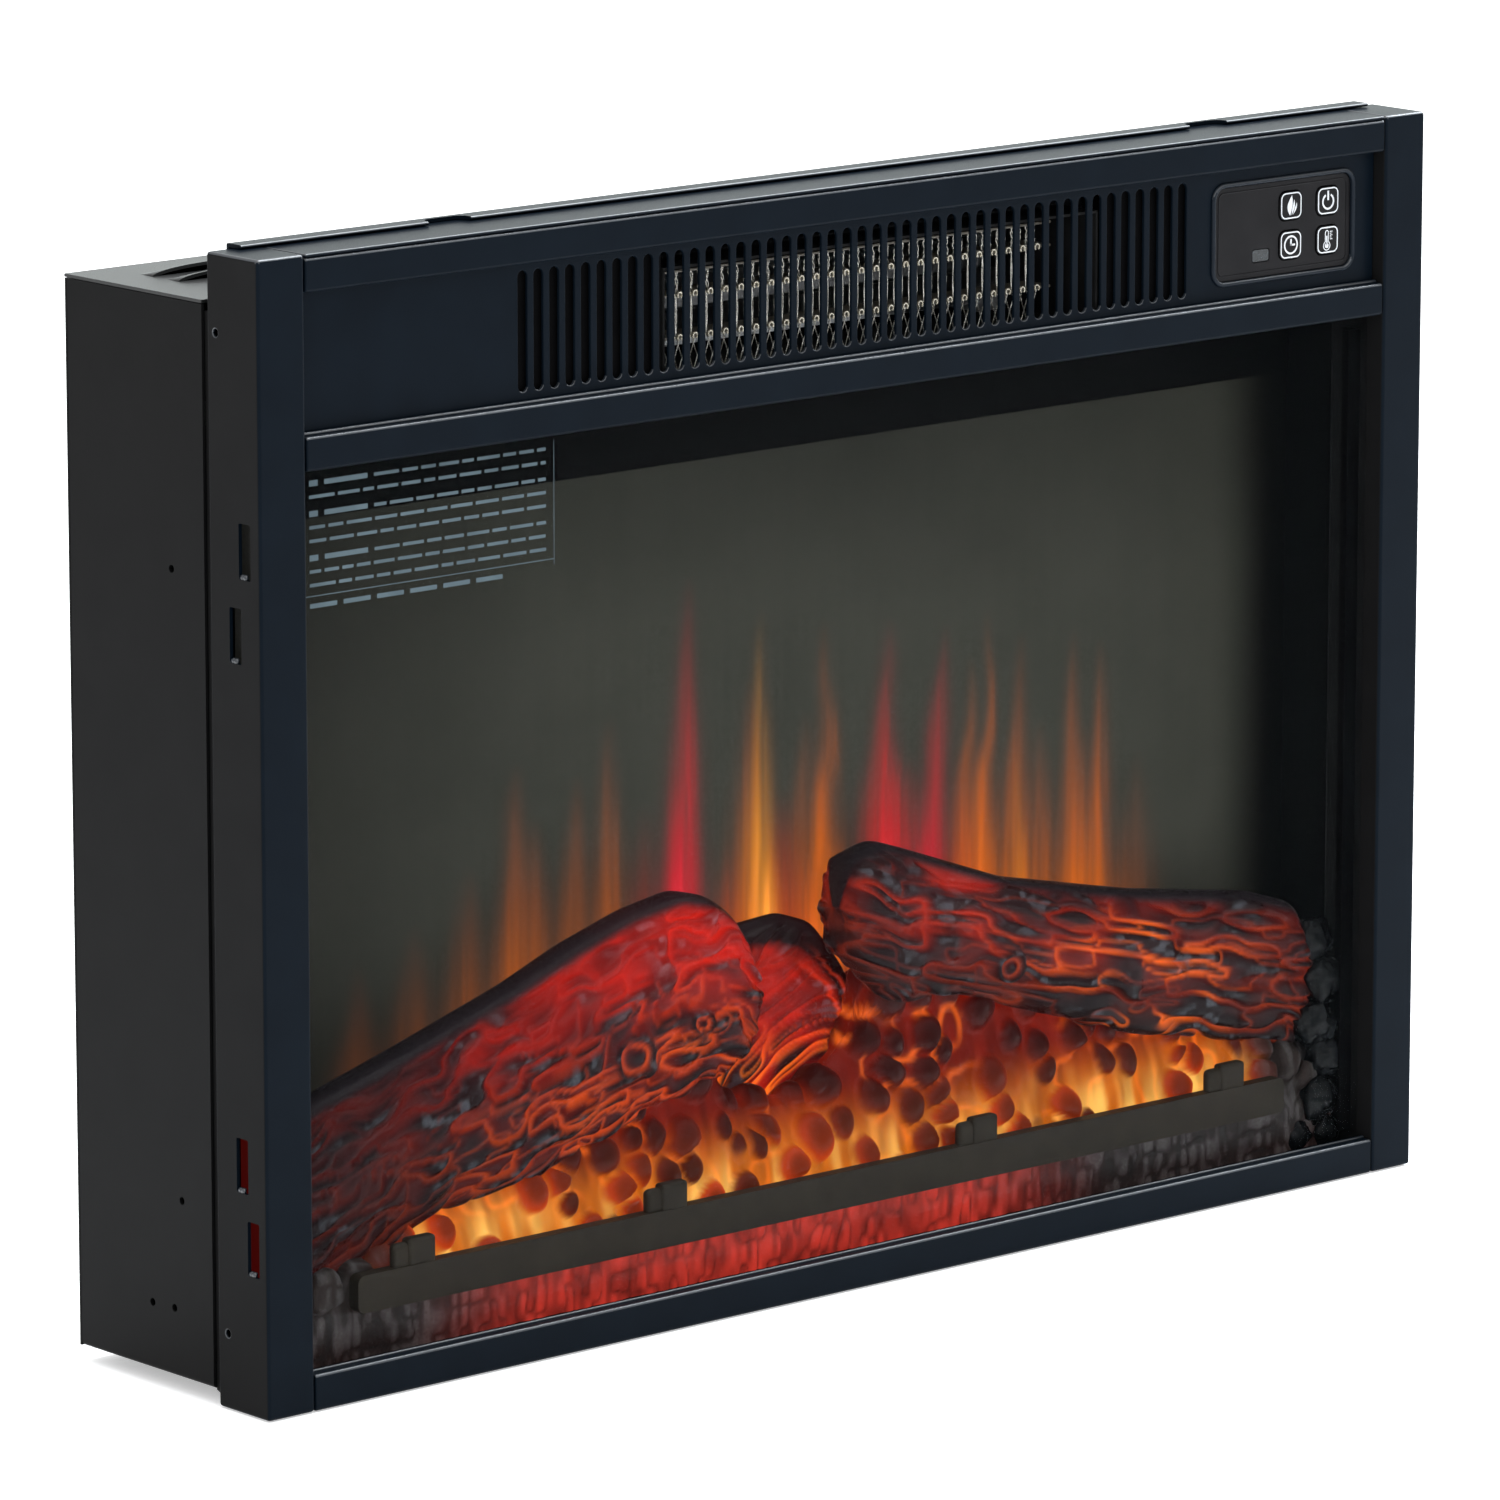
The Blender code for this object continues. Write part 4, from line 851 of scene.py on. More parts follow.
def build_grille():
    """Panel with its row of slots and the opening for the controls."""
    x, depth, z = extent("grille_panel")
    places = [SLOT_FIRST_X + number * SLOT_PITCH for number in range(SLOT_COUNT)]
    holes = [grown_slot((at, SLOT_Z), SLOT_SIZE) for at in places]
    holes.append(lambda grow: grown_round(*WINDOW)(1.3 + grow))
    paint_edge_highlights_and_side_light(pierced_plate("grille_face", grown_box(x, z), holes, roll_levels(*depth, 0.35),
                              material="frame_paint", replaces=["grille_panel"]))


def carried_round(section, centre, size, radius, steps=8):
    """Points of an (outset, depth) section carried round a rectangle, and how many there are in a loop."""
    grown = grown_round(centre, size, radius, steps)
    points = [(u, depth, w) for outset, depth in section for u, w in grown(outset)]
    return points, len(points) // len(section)


def ring_section(name, section, material, **options):
    """Closed section of (outset, depth) points carried round the control window."""
    points, columns = carried_round(section, *WINDOW, steps=10)
    faces = sheet_faces(len(section), columns, round_columns=True, round_rows=True)
    return even_shading(piece(name, points, faces, material, **options))


def stroke(line, width, closed=False):
    """Flat ribbon of constant width along a line of (u, w) points."""
    line = np.asarray(line, float)
    if closed:
        ahead, behind = np.roll(line, -1, 0), np.roll(line, 1, 0)
    else:
        ahead = np.vstack([line[1:], 2 * line[-1] - line[-2]])
        behind = np.vstack([2 * line[0] - line[1], line[:-1]])
    along = ahead - behind
    along /= np.linalg.norm(along, axis=1)[:, None]
    across = np.stack([-along[:, 1], along[:, 0]], 1) * width / 2
    left, right = line + across, line - across
    count = len(line)
    quads = []
    for i in range(count if closed else count - 1):
        j = (i + 1) % count
        quads.append([left[i], left[j], right[j], right[i]])
    return quads


def arc_line(centre, radius, first, last, steps=28):
    """Points along an arc between two angles in degrees."""
    return [(centre[0] + radius * math.cos(math.radians(first + (last - first) * s / steps)),
             centre[1] + radius * math.sin(math.radians(first + (last - first) * s / steps)))
            for s in range(steps + 1)]


def leaf(tip, foot, bulge_left, bulge_right, steps=10):
    """Pointed leaf between a tip and a foot, as quads across it."""
    tip, foot = np.array(tip, float), np.array(foot, float)
    across = np.array([-(tip - foot)[1], (tip - foot)[0]])
    across /= np.linalg.norm(across)
    sides = []
    for bulge, bend in ((bulge_left, 0.9), (-bulge_right, 1.25)):
        shares = np.linspace(0, 1, steps + 1)
        width = bulge * np.sin(math.pi * shares ** bend) * (1 - 0.25 * shares)
        sides.append(foot + (tip - foot) * shares[:, None] + across * width[:, None])
    left, right = sides
    return [[left[i], left[i + 1], right[i + 1], right[i]] for i in range(steps)]


def icon_shapes(key):
    """Quads of the line icon on a key, about the key's centre, in millimetres."""
    if key == "key_power":
        return stroke(arc_line((0, -0.3), 2.9, 118, 422), 0.75) + stroke([(0, 0.2), (0, 3.9)], 0.85)
    if key == "key_timer":
        hands = stroke([(0, 2.3), (0, -0.35)], 0.75) + stroke([(-0.3, 0), (2.2, 0)], 0.75)
        return stroke(arc_line((0, 0), 3.4, 0, 360)[:-1], 0.7, closed=True) + hands
    if key == "key_temperature":
        bulb = arc_line((-0.5, -2.3), 1.75, 117, 423)
        stem = [bulb[-1], (0.3, 2.9), *arc_line((-0.5, 2.9), 0.8, 0, 180, 8), (-1.3, 2.9), bulb[0]]
        shapes = stroke(bulb, 0.38) + stroke(stem, 0.38)
        shapes += stroke(arc_line((-0.5, -2.3), 0.5, 0, 360)[:-1], 1.0, closed=True)
        shapes += stroke([(-0.5, -2.0), (-0.5, 1.6)], 0.6)
        for number in range(5):
            level = 3.2 - 0.75 * number
            shapes += stroke([(1.1, level), (2.0 if number % 2 else 2.5, level)], 0.32)
        return shapes
    return (leaf((0.3, 4.1), (-0.6, -3.9), 2.1, 0.9) + leaf((1.6, 2.3), (0.2, -3.9), 0.25, 1.0)
            + leaf((3.0, 1.0), (1.0, -3.7), 0.1, 0.8))


def raised(quads, centre, front, thick=0.06):
    """Flat quads given a little thickness in front of a face."""
    shapes = []
    for quad in quads:
        points = [(centre[0] + u, level, centre[1] + w)
                  for level in (front - thick, front + thick) for u, w in quad]
        faces = [(0, 1, 2, 3), (4, 5, 6, 7)] + [(i, (i + 1) % 4, (i + 1) % 4 + 4, i + 4) for i in range(4)]
        shapes.append((points, faces))
    return joined(shapes)


KEY_CORNER = 3.0


def build_key(node, body):
    """Glossy cap with a printed outline and icon, which move with the key."""
    face = extent(node)[1][0]
    centre, size = front_of(node, -1.4)
    section = [(0.7, 9.0), (0.7, 8.3), (0.0, 8.3), (0.0, 6.1), (-0.12, 5.85), (-0.4, 5.68), (-0.8, face)]
    points, columns = carried_round(section, centre, size, KEY_CORNER)
    cap = piece(node + "_cap", points, tube_faces(len(section), columns), "keys", body=body, replaces=[node])
    even_shading(cap)
    outline = rounded((0, 0), (size[0] - 1.5, size[1] - 1.5), KEY_CORNER - 0.75)
    quads = stroke(outline, 0.5, closed=True) + icon_shapes(node)
    piece(node + "_print", *raised(quads, centre, face), "key_print", slot="keys", body=body)


def build_controls():
    """Bezel, overlay with its openings, and the four keys."""
    section = [(-0.2, 6.0), (-0.2, 5.4), (0.05, 5.0), (0.4, 4.8), (0.85, 4.75), (1.3, 4.9), (1.62, 5.25),
               (1.7, 5.7), (1.0, 5.7), (1.0, 9.5), (0.1, 9.5), (0.1, 6.1)]
    paint_edge_highlights_and_side_light(ring_section("control_bezel_ring", section, "frame_plastic", replaces=["control_bezel"]))
    holes = [grown_round(*front_of(node, -0.8), 3.3) for node in KEYS]
    holes.append(grown_round(*front_of("infrared_window", 0.6), 1.2))
    outer = grown_round(*front_of("control_overlay"), CONTROL_CORNER - 0.3)
    levels = roll_levels(*extent("control_overlay")[1], 0.25)
    pierced_plate("control_overlay_face", outer, holes, levels, material="overlay",
                  replaces=["control_overlay"])
    step = [(-2.2, 6.25), (-2.2, 6.05), (-2.45, 5.95), (-2.7, 6.05), (-2.7, 6.25)]
    ring_section("overlay_step", step, "overlay")
    for node, body in KEYS.items():
        build_key(node, body)


# ---------------------------------------------------------------- case

CASE_SHEET, CASE_FOLD = 1.2, 1.6
LOUVRE_CUTS = (71.0, 86.5)
LOUVRE_SPANS = [(-273.0, -105.0), (-84.0, 84.0), (105.0, 273.0)]
LOUVRE_HEIGHT, LOUVRE_REACH, LOUVRE_ROUND = 3.2, 9.0, 30.0
CASE_SIDE_HOLES = [(52.0, 309.2), (50.4, 73.5), (68.8, 31.5), (55.6, 31.9)]
VENT_NUMBERS, VENT_PITCH, VENT_Z, VENT_SIZE = range(-8, 9), 14.0, 310.0, (5.0, 40.0)


def louvre_lift(x, depth):
    """Height of the pressed louvres above the case top, behind their front cuts."""
    lift = 0.0
    for front in LOUVRE_CUTS:
        behind = (depth - front) / LOUVRE_REACH
        if not -1e-6 <= behind < 1:
            continue
        for low, high in LOUVRE_SPANS:
            edge = min(x - low, high - x)
            if edge > 0:
                across = math.sqrt(1 - max(0.0, 1 - edge / LOUVRE_ROUND) ** 2)
                lift = LOUVRE_HEIGHT * across * (0.5 + 0.5 * math.cos(math.pi * behind)) ** 0.8
    return lift


def build_case_top():
    """Sheet with two rows of forward-opening louvres."""
    x, depth, z = extent("case_top")
    top = z[1] - LOUVRE_HEIGHT
    columns = {x[0], x[1]}
    for low, high in LOUVRE_SPANS:
        for step in range(15):
            inset = LOUVRE_ROUND * (1 - math.cos(step / 14 * math.pi / 2))
            columns |= {low + inset, high - inset}
        columns |= set(np.linspace(low + LOUVRE_ROUND, high - LOUVRE_ROUND, 9).tolist())
    columns = sorted(columns)
    rows = {depth[0], depth[1]}
    for front in LOUVRE_CUTS:
        rows |= {front + LOUVRE_REACH * step / 10 for step in range(11)}
    rows = sorted(rows)
    points, faces, lower, raised_at = [], [], {}, {}
    for r, row in enumerate(rows):
        for c, column in enumerate(columns):
            lift = louvre_lift(column, row)
            raised_at[r, c] = len(points)
            points.append((column, row, top + lift))
            if row in LOUVRE_CUTS and lift > 0:
                lower[r, c] = len(points)
                points.append((column, row, top))
    for r, c in itertools.product(range(len(rows) - 1), range(len(columns) - 1)):
        far = [lower.get((r + 1, c + k), raised_at[r + 1, c + k]) for k in (1, 0)]
        faces.append((raised_at[r, c], raised_at[r, c + 1], *far))
    # the top sheet takes the lighter copy of the case paint: painted sheen
    sheet = piece("case_top_sheet", points, faces, "case_top_paint", slot="case_paint", replaces=["case_top"])
    for polygon in sheet.data.polygons:
        if polygon.normal.z < 0:
            polygon.flip()
    modifier = sheet.modifiers.new("Solidify", "SOLIDIFY")
    modifier.thickness = CASE_SHEET * MM
    modifier.offset = -1.0
    even_shading(applied(sheet))


def build_case():
    """Wrapped shell with rounded folds, the vented back and the screws."""
    build_case_top()
    x, depth, z = extent("case_shell")
    arc = quarter(5)
    outer = [(x[0], z[1])]
    outer += [(x[0] + CASE_FOLD * (1 - math.cos(a)), z[0] + CASE_FOLD * (1 - math.sin(a))) for a in arc]
    outer += [(x[1] - CASE_FOLD * (1 - math.sin(a)), z[0] + CASE_FOLD * (1 - math.cos(a))) for a in arc]
    outer += [(x[1], z[1]), (x[1] - CASE_SHEET, z[1]), (x[1] - CASE_SHEET, z[0] + CASE_SHEET),
              (x[0] + CASE_SHEET, z[0] + CASE_SHEET), (x[0] + CASE_SHEET, z[1])]
    shell = piece("case_wrap", *prism(outer, *depth, "depth"), "case_paint", replaces=["case_shell"])
    even_shading(cut(shell, [cutter(circle(centre, 1.5), side * (abs(x[0]) - 4), side * (abs(x[0]) + 4), "x")
                             for side in (-1, 1) for centre in CASE_SIDE_HOLES]))
    build_back()


def build_back():
    """Back panel with rolled vents and the way for the cord, and a row of screws round it."""
    x, depth, z = extent("back_panel")
    way, _ = front_of("cord_gland")
    vents = [grown_slot((VENT_PITCH * number, VENT_Z), VENT_SIZE) for number in VENT_NUMBERS]
    vents.append(lambda grow: circle(way, 6.0 + grow))
    # the rolled side is the rear one, so the levels of a front one are mirrored
    rolled = roll_levels(depth[1], 2 * depth[1] - depth[0], 0.35)
    levels = [(2 * depth[1] - d, inset) for d, inset in rolled]
    pierced_plate("back_panel_sheet", grown_box(x, z), vents, levels, material="case_paint",
                  replaces=["back_panel"])
    sides, ends = [(low + 9.0, high - 9.0) for low, high in (x, z)]
    spots = [(u, w) for u in np.linspace(*sides, 5) for w in ends]
    spots += [(side, w) for side in sides for w in (140.0, 275.0)]
    heads = [screw_head((u, depth[1] + 0.1, w), "depth", 1, 3.2) for u, w in spots]
    piece("back_screws", *joined(heads), "zinc_screw", slot="bare_steel", smooth=35)


# ---------------------------------------------------------------- glass, label and screen

LABEL_LEFT, LABEL_RIGHT, LABEL_TOP = -265.6, -148.8, 346.0


def bar(x0, x1, z, height):
    """Printed bar between two places, about a level."""
    return rectangle(x0, z - height / 2, x1, z + height / 2)


def build_label():
    """Generic information film: plain bars in three blocks, a rule, bolder bars and an edge line."""
    front = extent("glass_pane")[1][0] - 0.05
    bars, level = [], LABEL_TOP - 3.0
    for block_number in range(3):
        for row in range(3 if block_number else 2):
            cursor, number = LABEL_LEFT + 2, 0
            if row == 0:
                bars += [bar(cursor, cursor + 4.0, level, 2.2), bar(cursor + 7.0, cursor + 27.0, level, 1.9)]
                cursor += 30.0
            while cursor < LABEL_RIGHT - 6:
                length = 5.0 + 7.0 * scatter(np.array([block_number, row, number]), 5)
                bars.append(bar(cursor, min(cursor + length, LABEL_RIGHT - 4), level, 1.25))
                cursor += length + 1.6
                number += 1
            level -= 5.0
        level -= 1.2
    bars.append(bar(LABEL_LEFT, LABEL_RIGHT, level + 2.2, 0.35))
    starts = [LABEL_LEFT + 2 + number * 15.5 for number in range(6)]
    bars += [bar(start, start + 12.5, level - 1.4, 1.7) for start in starts]
    bars.append(rectangle(LABEL_RIGHT - 0.25, level, LABEL_RIGHT, LABEL_TOP))
    piece("label_marks", *raised(bars, (0, 0), front, 0.02), "label_print", slot="glass")


# flames by colour: (x, low end, high end, half width, lean, strength)
FLAMES = {
    (1.0, 0.028, 0.050): [
        (-45, 105, 275, 9, 2, 0.80), (-44, 105, 200, 14, 0, 0.55), (60, 115, 246, 10, 0, 0.80),
        (83, 122, 240, 8, 8, 0.70), (72, 120, 190, 18, 0, 0.35),
    ],
    (0.90, 0.035, 0.010): [
        (58, 115, 225, 14, 0, 0.45), (-62, 100, 190, 14, 0, 0.35), (6, 105, 185, 20, 0, 0.55),
        (-20, 105, 170, 14, 0, 0.4), (100, 112, 190, 14, 0, 0.3),
    ],
    (0.95, 0.20, 0.015): [
        (-131, 92, 214, 11, 5, 0.50), (-119, 92, 192, 14, 0, 0.45), (-100, 96, 206, 11, 3, 0.46),
        (-80, 100, 226, 11, 0, 0.55), (-152, 88, 178, 13, 0, 0.30), (-178, 84, 160, 14, 2, 0.20),
        (-205, 80, 150, 12, 0, 0.13), (-10, 105, 232, 14, 0, 0.62), (14, 105, 215, 10, 3, 0.55),
        (27, 110, 250, 8, 2, 0.70), (31, 110, 215, 12, 0, 0.45), (101, 112, 226, 7, 3, 0.50),
        (113, 112, 244, 5, 1, 0.62), (112, 112, 205, 12, 0, 0.50), (129, 110, 232, 8, 2, 0.62),
        (142, 108, 196, 10, 0, 0.42), (158, 106, 230, 6, 1, 0.58), (172, 104, 224, 7, 1, 0.55),
        (166, 104, 190, 14, 0, 0.38), (192, 100, 176, 12, 0, 0.16),
    ],
    (1.0, 0.42, 0.05): [
        (-6, 105, 258, 8, 1, 0.75), (-3, 105, 200, 6, 0, 0.5), (130, 110, 190, 4, 1, 0.3),
    ],
}


def flame_light(x, z):
    """Colour of the flames thrown on the screen, (..., 3)."""
    light = np.zeros(x.shape + (3,))
    sway = 2.6 * front_noise(x, z, 36, 34, 3)
    streak = front_noise(x + sway, z, 2.8, 95, 11)
    streak = streak + 0.6 * front_noise(x + sway, z, 1.2, 70, 12)
    texture = np.clip(1 + 0.36 * streak, 0.2, 1.9)
    for colour, wisps in FLAMES.items():
        for at, low, high, half, lean, strength in wisps:
            share = np.clip((z - low) / (high - low), 0, 1)
            centre = at + lean * share ** 1.5 + sway
            width = half * (1.0 - 0.82 * share ** 0.9) + 0.5
            body = np.exp(-np.abs((x - centre) / width) ** 1.8)
            fade = (1 - share) ** 1.2 * ease(z, low - 40, low + 8) * (z < high)
            light += scaled(colour, strength * body * fade * texture)
    return light


def build_screen():
    """Smoked screen with the flames thrown on it, and a painted grey glow over the rest that darkens towards
    its edges as painted shade. Behind a flame, the screen's grey glow is hidden.
    """
    x, depth, z = extent("flame_screen")
    columns, rows = 400, 235
    across, up = np.meshgrid(np.linspace(*x, columns), np.linspace(*z, rows), indexing="xy")
    mottle = layered(on_front(across / 55, up / 45), 3, 20)
    brush = front_noise(across, up, 1.6, 60, 31)
    shade = (1 + 0.16 * mottle + 0.05 * brush)
    # painted shade: darker towards the right and left edges, the top and the bottom
    shade = shade * (1 - ease(across, 232, 268)) * (0.30 + 0.70 * ease(across, -330, -60))
    shade = shade * (0.55 + 0.45 * ease(up, 340, 230)) * (0.5 + 0.5 * ease(up, 60, 150))
    # the grey glow stands in for the light that falls on the screen: painted light
    grey = np.array((0.041, 0.042, 0.033))
    flames = flame_light(across, up)
    quiet = 1 - 0.85 * np.clip(1.6 * flames.max(axis=-1), 0, 1)
    glow = scaled(grey * 0.74, shade * quiet) + flames
    tone = scaled(grey * 0.5, shade * quiet) + 0.002
    front = np.stack([across, np.full_like(across, depth[0]), up], -1).reshape(-1, 3)
    faces = sheet_faces(rows, columns)
    number = np.arange(rows * columns).reshape(rows, columns)
    border = np.concatenate([number[0], number[1:, -1], number[-1, -2::-1], number[-2:0:-1, 0]]).tolist()
    back = front[border].copy()
    back[:, 1] = depth[1]
    behind = [rows * columns + i for i in range(len(border))]
    following = np.roll(np.arange(len(border)), -1).tolist()
    faces += [(border[i], border[j], behind[j], behind[i]) for i, j in enumerate(following)]
    faces.append(behind)
    back_tone = np.full((len(border), 3), 0.01)
    piece("flame_screen_sheet", np.vstack([front, back]), faces, "flame_screen", replaces=["flame_screen"],
          smooth=40, colours={"tone": np.vstack([tone.reshape(-1, 3), back_tone]),
                              "glow": np.vstack([glow.reshape(-1, 3), 0 * back_tone])})


# ---------------------------------------------------------------- logs

def smooth_line(pairs, at, window=6.0):
    """Values along a line of (x, value) points, with its corners rounded off."""
    xs, values = zip(*pairs)
    offsets = np.linspace(-window, window, 9)
    weights = np.exp(-(offsets / (0.6 * window)) ** 2)
    total = sum(w * np.interp(at + o, xs, values) for w, o in zip(weights, offsets))
    return total / weights.sum()


def build_log(node, tops, bottoms, ends, cap, colour_at, seed, knots=(), length=18.0, columns=480, rows=190,
              slant=0.0):
    """Bark-covered log between a top and a bottom line, closing towards both ends.

    length is that of the bark's strips, and slant is how steeply they climb along the log.
    """
    depth = extent(node)[1]
    share = np.linspace(0, 1, columns)
    x = ends[0] + (ends[1] - ends[0]) * (0.35 * (0.5 - 0.5 * np.cos(math.pi * share)) + 0.65 * share)
    top, bottom = smooth_line(tops, x), smooth_line(bottoms, x)
    centre, half = ((top + bottom) / 2)[:, None], ((top - bottom) / 2)[:, None]
    closing = np.ones(columns)
    for end, reach, sign in ((ends[0], cap[0], -1), (ends[1], cap[1], 1)):
        inward = np.clip(1 - sign * (end - x) / reach, 0, 1)
        closing = closing * np.sqrt(np.clip(1 - inward ** 2.6, 0.0004, 1))
    closing = closing[:, None]
    angle = TWO_PI * np.arange(rows) / rows
    c, s = np.cos(angle)[None, :], np.sin(angle)[None, :]
    fuller = lambda v: np.sign(v) * np.abs(v) ** 0.82
    grid_x = np.repeat(x[:, None], rows, 1)
    height = half * closing
    reach = (depth[1] - depth[0]) / 2 * (0.25 + 0.75 * closing)
    d = middle(depth) - reach * fuller(c)
    z = centre + height * fuller(s)
    up = s + 0 * z
    normal = np.stack([0 * z, -c / reach, s / np.maximum(height, 1)], -1)
    normal /= np.linalg.norm(normal, axis=-1)[..., None]
    lift, groove, band = bark(grid_x, z, z - centre - slant * grid_x, d, seed, up, knots, length)
    lift = lift * np.minimum(closing * 3, 1)
    points = np.stack([grid_x, d, z], -1) + scaled(normal, lift)
    points[..., 0] -= np.gradient(centre[:, 0], x)[:, None] * lift * 0.3
    tone, glow = colour_at(grid_x, z, lift, groove, band, up)
    piece(node + "_bark", points, tube_faces(columns, rows), "log_resin", replaces=[node], smooth=180,
          colours={"tone": tone, "glow": glow})


def crease(field, x, z, width):
    """1 along the lines where a gridded field changes sign, falling to 0 a width beside them."""
    step_x = np.hypot(np.gradient(x, axis=0), np.gradient(z, axis=0)) + 1e-3
    step_z = np.hypot(np.gradient(x, axis=1), np.gradient(z, axis=1)) + 0.15
    slope = np.hypot(np.gradient(field, axis=0) / step_x, np.gradient(field, axis=1) / step_z)
    return np.exp(-(field / (width * np.maximum(slope, 0.03))) ** 2)


def bark(x, z, flow, depth, seed, up, knots, length):
    """Height of the bark in millimetres, how deep in a groove a point is, and the smooth top band.

    flow is the distance across the bark's strips, and up runs from -1 underneath to 1 on top.
    """
    warp = soft_noise(np.stack([x / 16, flow / 9, depth / 25], -1), seed) * 3.2
    lines = np.stack([x / length, (flow + warp) / 5.2, depth / 24], -1)
    broad = soft_noise(lines, seed + 1)
    narrow = soft_noise(lines * (1.5, 1.6, 1.6) + 7, seed + 2)
    groove = np.maximum(crease(broad, x, z, 1.25), 0.6 * crease(narrow, x, z, 0.8))
    pillow = np.sqrt(np.abs(broad)) + 0.45 * np.sqrt(np.abs(narrow))
    lumps = soft_noise(np.stack([x / 14, (flow + warp) / 8, depth / 20], -1), seed + 3)
    flakes = soft_noise(np.stack([x / 5, (flow + warp) / 2.2, depth / 9], -1), seed + 4)
    value = 1.9 * pillow - 1.5 + 0.55 * lumps + 0.16 * flakes
    for knot_x, knot_z, radius in knots:
        wobble = front_noise(x, flow, 7, 7, seed + 9)
        away = np.hypot(x - knot_x, (z - knot_z) * 1.15) / radius + 0.22 * wobble
        inside = ease(away, 1.25, 0.8)
        ring = bell(away, 0.9, 0.22)
        value = value * (1 - inside) + inside * (1.3 * ring + 0.9 * bell(away, 0, 0.45) - 0.3)
        groove = groove * (1 - inside) + inside * bell(away, 0.55, 0.12)
    band = ease(up, 0.82, 0.94)
    return 2.1 * value * (1 - band) + 0.8 * band, np.clip(groove, 0, 1) * (1 - band), band


BAND_TONE = (0.020, 0.016, 0.019)
# grey of the dry-brush on the bark, partly real paint and partly a painted sheen
DRY_BRUSH_AND_SHEEN_GREY = (0.060, 0.066, 0.076)


def painted(tone, glow, lift, band, x, z):
    """Grey dry-brush paint, partly a painted sheen, on the highest points of the bark, and dark paint along
    the smooth band.
    """
    sheen_spots = ease(front_noise(x, z, 4.5, 2.6, 77), 0.05, 0.55)
    tone = blended(tone, DRY_BRUSH_AND_SHEEN_GREY, ease(lift, 0.6, 2.2) * sheen_spots)
    return blended(tone, BAND_TONE, band), scaled(glow, 1 - 0.97 * band)


# Each log's colours are (tone, glow) from the place, the bark's height and grooves, the smooth band along
# the top, and up, which runs from -1 underneath to 1 on top.

def left_colours(x, z, lift, groove, band, up):
    """Red-hot resin, brighter to the upper right, with dark bark and glowing grooves."""
    along = ease(x, -240, -80)
    patch = patchy(x, z, 24, 13, 60)
    bare = along * ease(up, 0.0, 0.55) * (0.45 + 0.55 * patch)
    heat = (0.05 + 0.95 * along) * (0.16 + 0.84 * ease(up, -0.4, 0.6))
    dark = ease(lift, -1.4, 1.6) * (0.98 - 0.72 * bare)
    glow = blended((0.030, 0.004, 0.003), (0.72, 0.012, 0.005), heat * (0.35 + 0.65 * patch))
    under = ease(up, 0.45, -0.35)
    fire = blended((0.62, 0.018, 0.005), (0.95, 0.13, 0.008), under * (0.3 + 0.7 * patch))
    lit = groove * (0.10 + 0.90 * along) * (0.35 + 0.65 * under) * (0.4 + 0.6 * patch)
    glow = scaled(glow, 1 - dark) + scaled(fire, lit)
    tone = blended((0.016, 0.004, 0.004), (0.010, 0.007, 0.008), dark)
    return painted(tone, glow, lift, band, x, z)


def right_colours(x, z, lift, groove, band, up):
    """Darker log: brown-red with orange cracks towards its right."""
    patch = patchy(x, z, 26, 12, 70)
    heat = 0.10 + 0.40 * bell(x, 130, 80) + 0.50 * bell(x, 50, 45)
    dark = ease(lift, -1.6, 1.5) * 0.95
    heat = heat * (0.3 + 0.8 * patch) * ease(up, -0.8, 0.3)
    glow = blended((0.030, 0.004, 0.003), (0.52, 0.014, 0.006), heat)
    hot = 0.10 + 0.90 * bell(x, 165, 62) * ease(patch, 0.25, 0.7)
    fire = blended((0.42, 0.018, 0.005), (1.05, 0.17, 0.010), hot)
    glow = scaled(glow, 1 - dark) + scaled(fire, groove * ease(up, 0.85, 0.5) * (0.16 + 0.84 * hot))
    tone = blended((0.018, 0.007, 0.006), (0.011, 0.008, 0.009), dark)
    return painted(tone, glow, lift, band, x, z)


def stub_colours(x, z, lift, groove, band, up):
    """Bright red short log with a dark rim over its top and down its right end."""
    patch = patchy(x + z, z - x, 9, 30, 80)
    around = np.hypot((x + 8) / 50, (z - 62) / 76)
    rim = ease(around, 0.83, 0.90)
    ring = np.maximum(bell(around, 0.80, 0.022), 0.8 * bell(around, 0.91, 0.018)) * ease(z, 128, 100)
    dark = np.clip(ease(lift, -1.4, 1.2) * (0.35 + 0.60 * ease(z, 118, 80)) + 0.96 * rim, 0, 0.98)
    glow = blended((0.16, 0.005, 0.003), (0.70, 0.014, 0.006), patch)
    low = ease(z, 104, 70)
    fire = blended((0.60, 0.030, 0.006), (1.05, 0.22, 0.012), low)
    lit = np.maximum(groove * (1 - rim) * (0.15 + 0.85 * low), ring)
    tone = blended((0.018, 0.005, 0.004), (0.012, 0.009, 0.010), dark)
    return painted(tone, scaled(glow, 1 - dark) + scaled(fire, lit), lift, 0 * band, x, z)


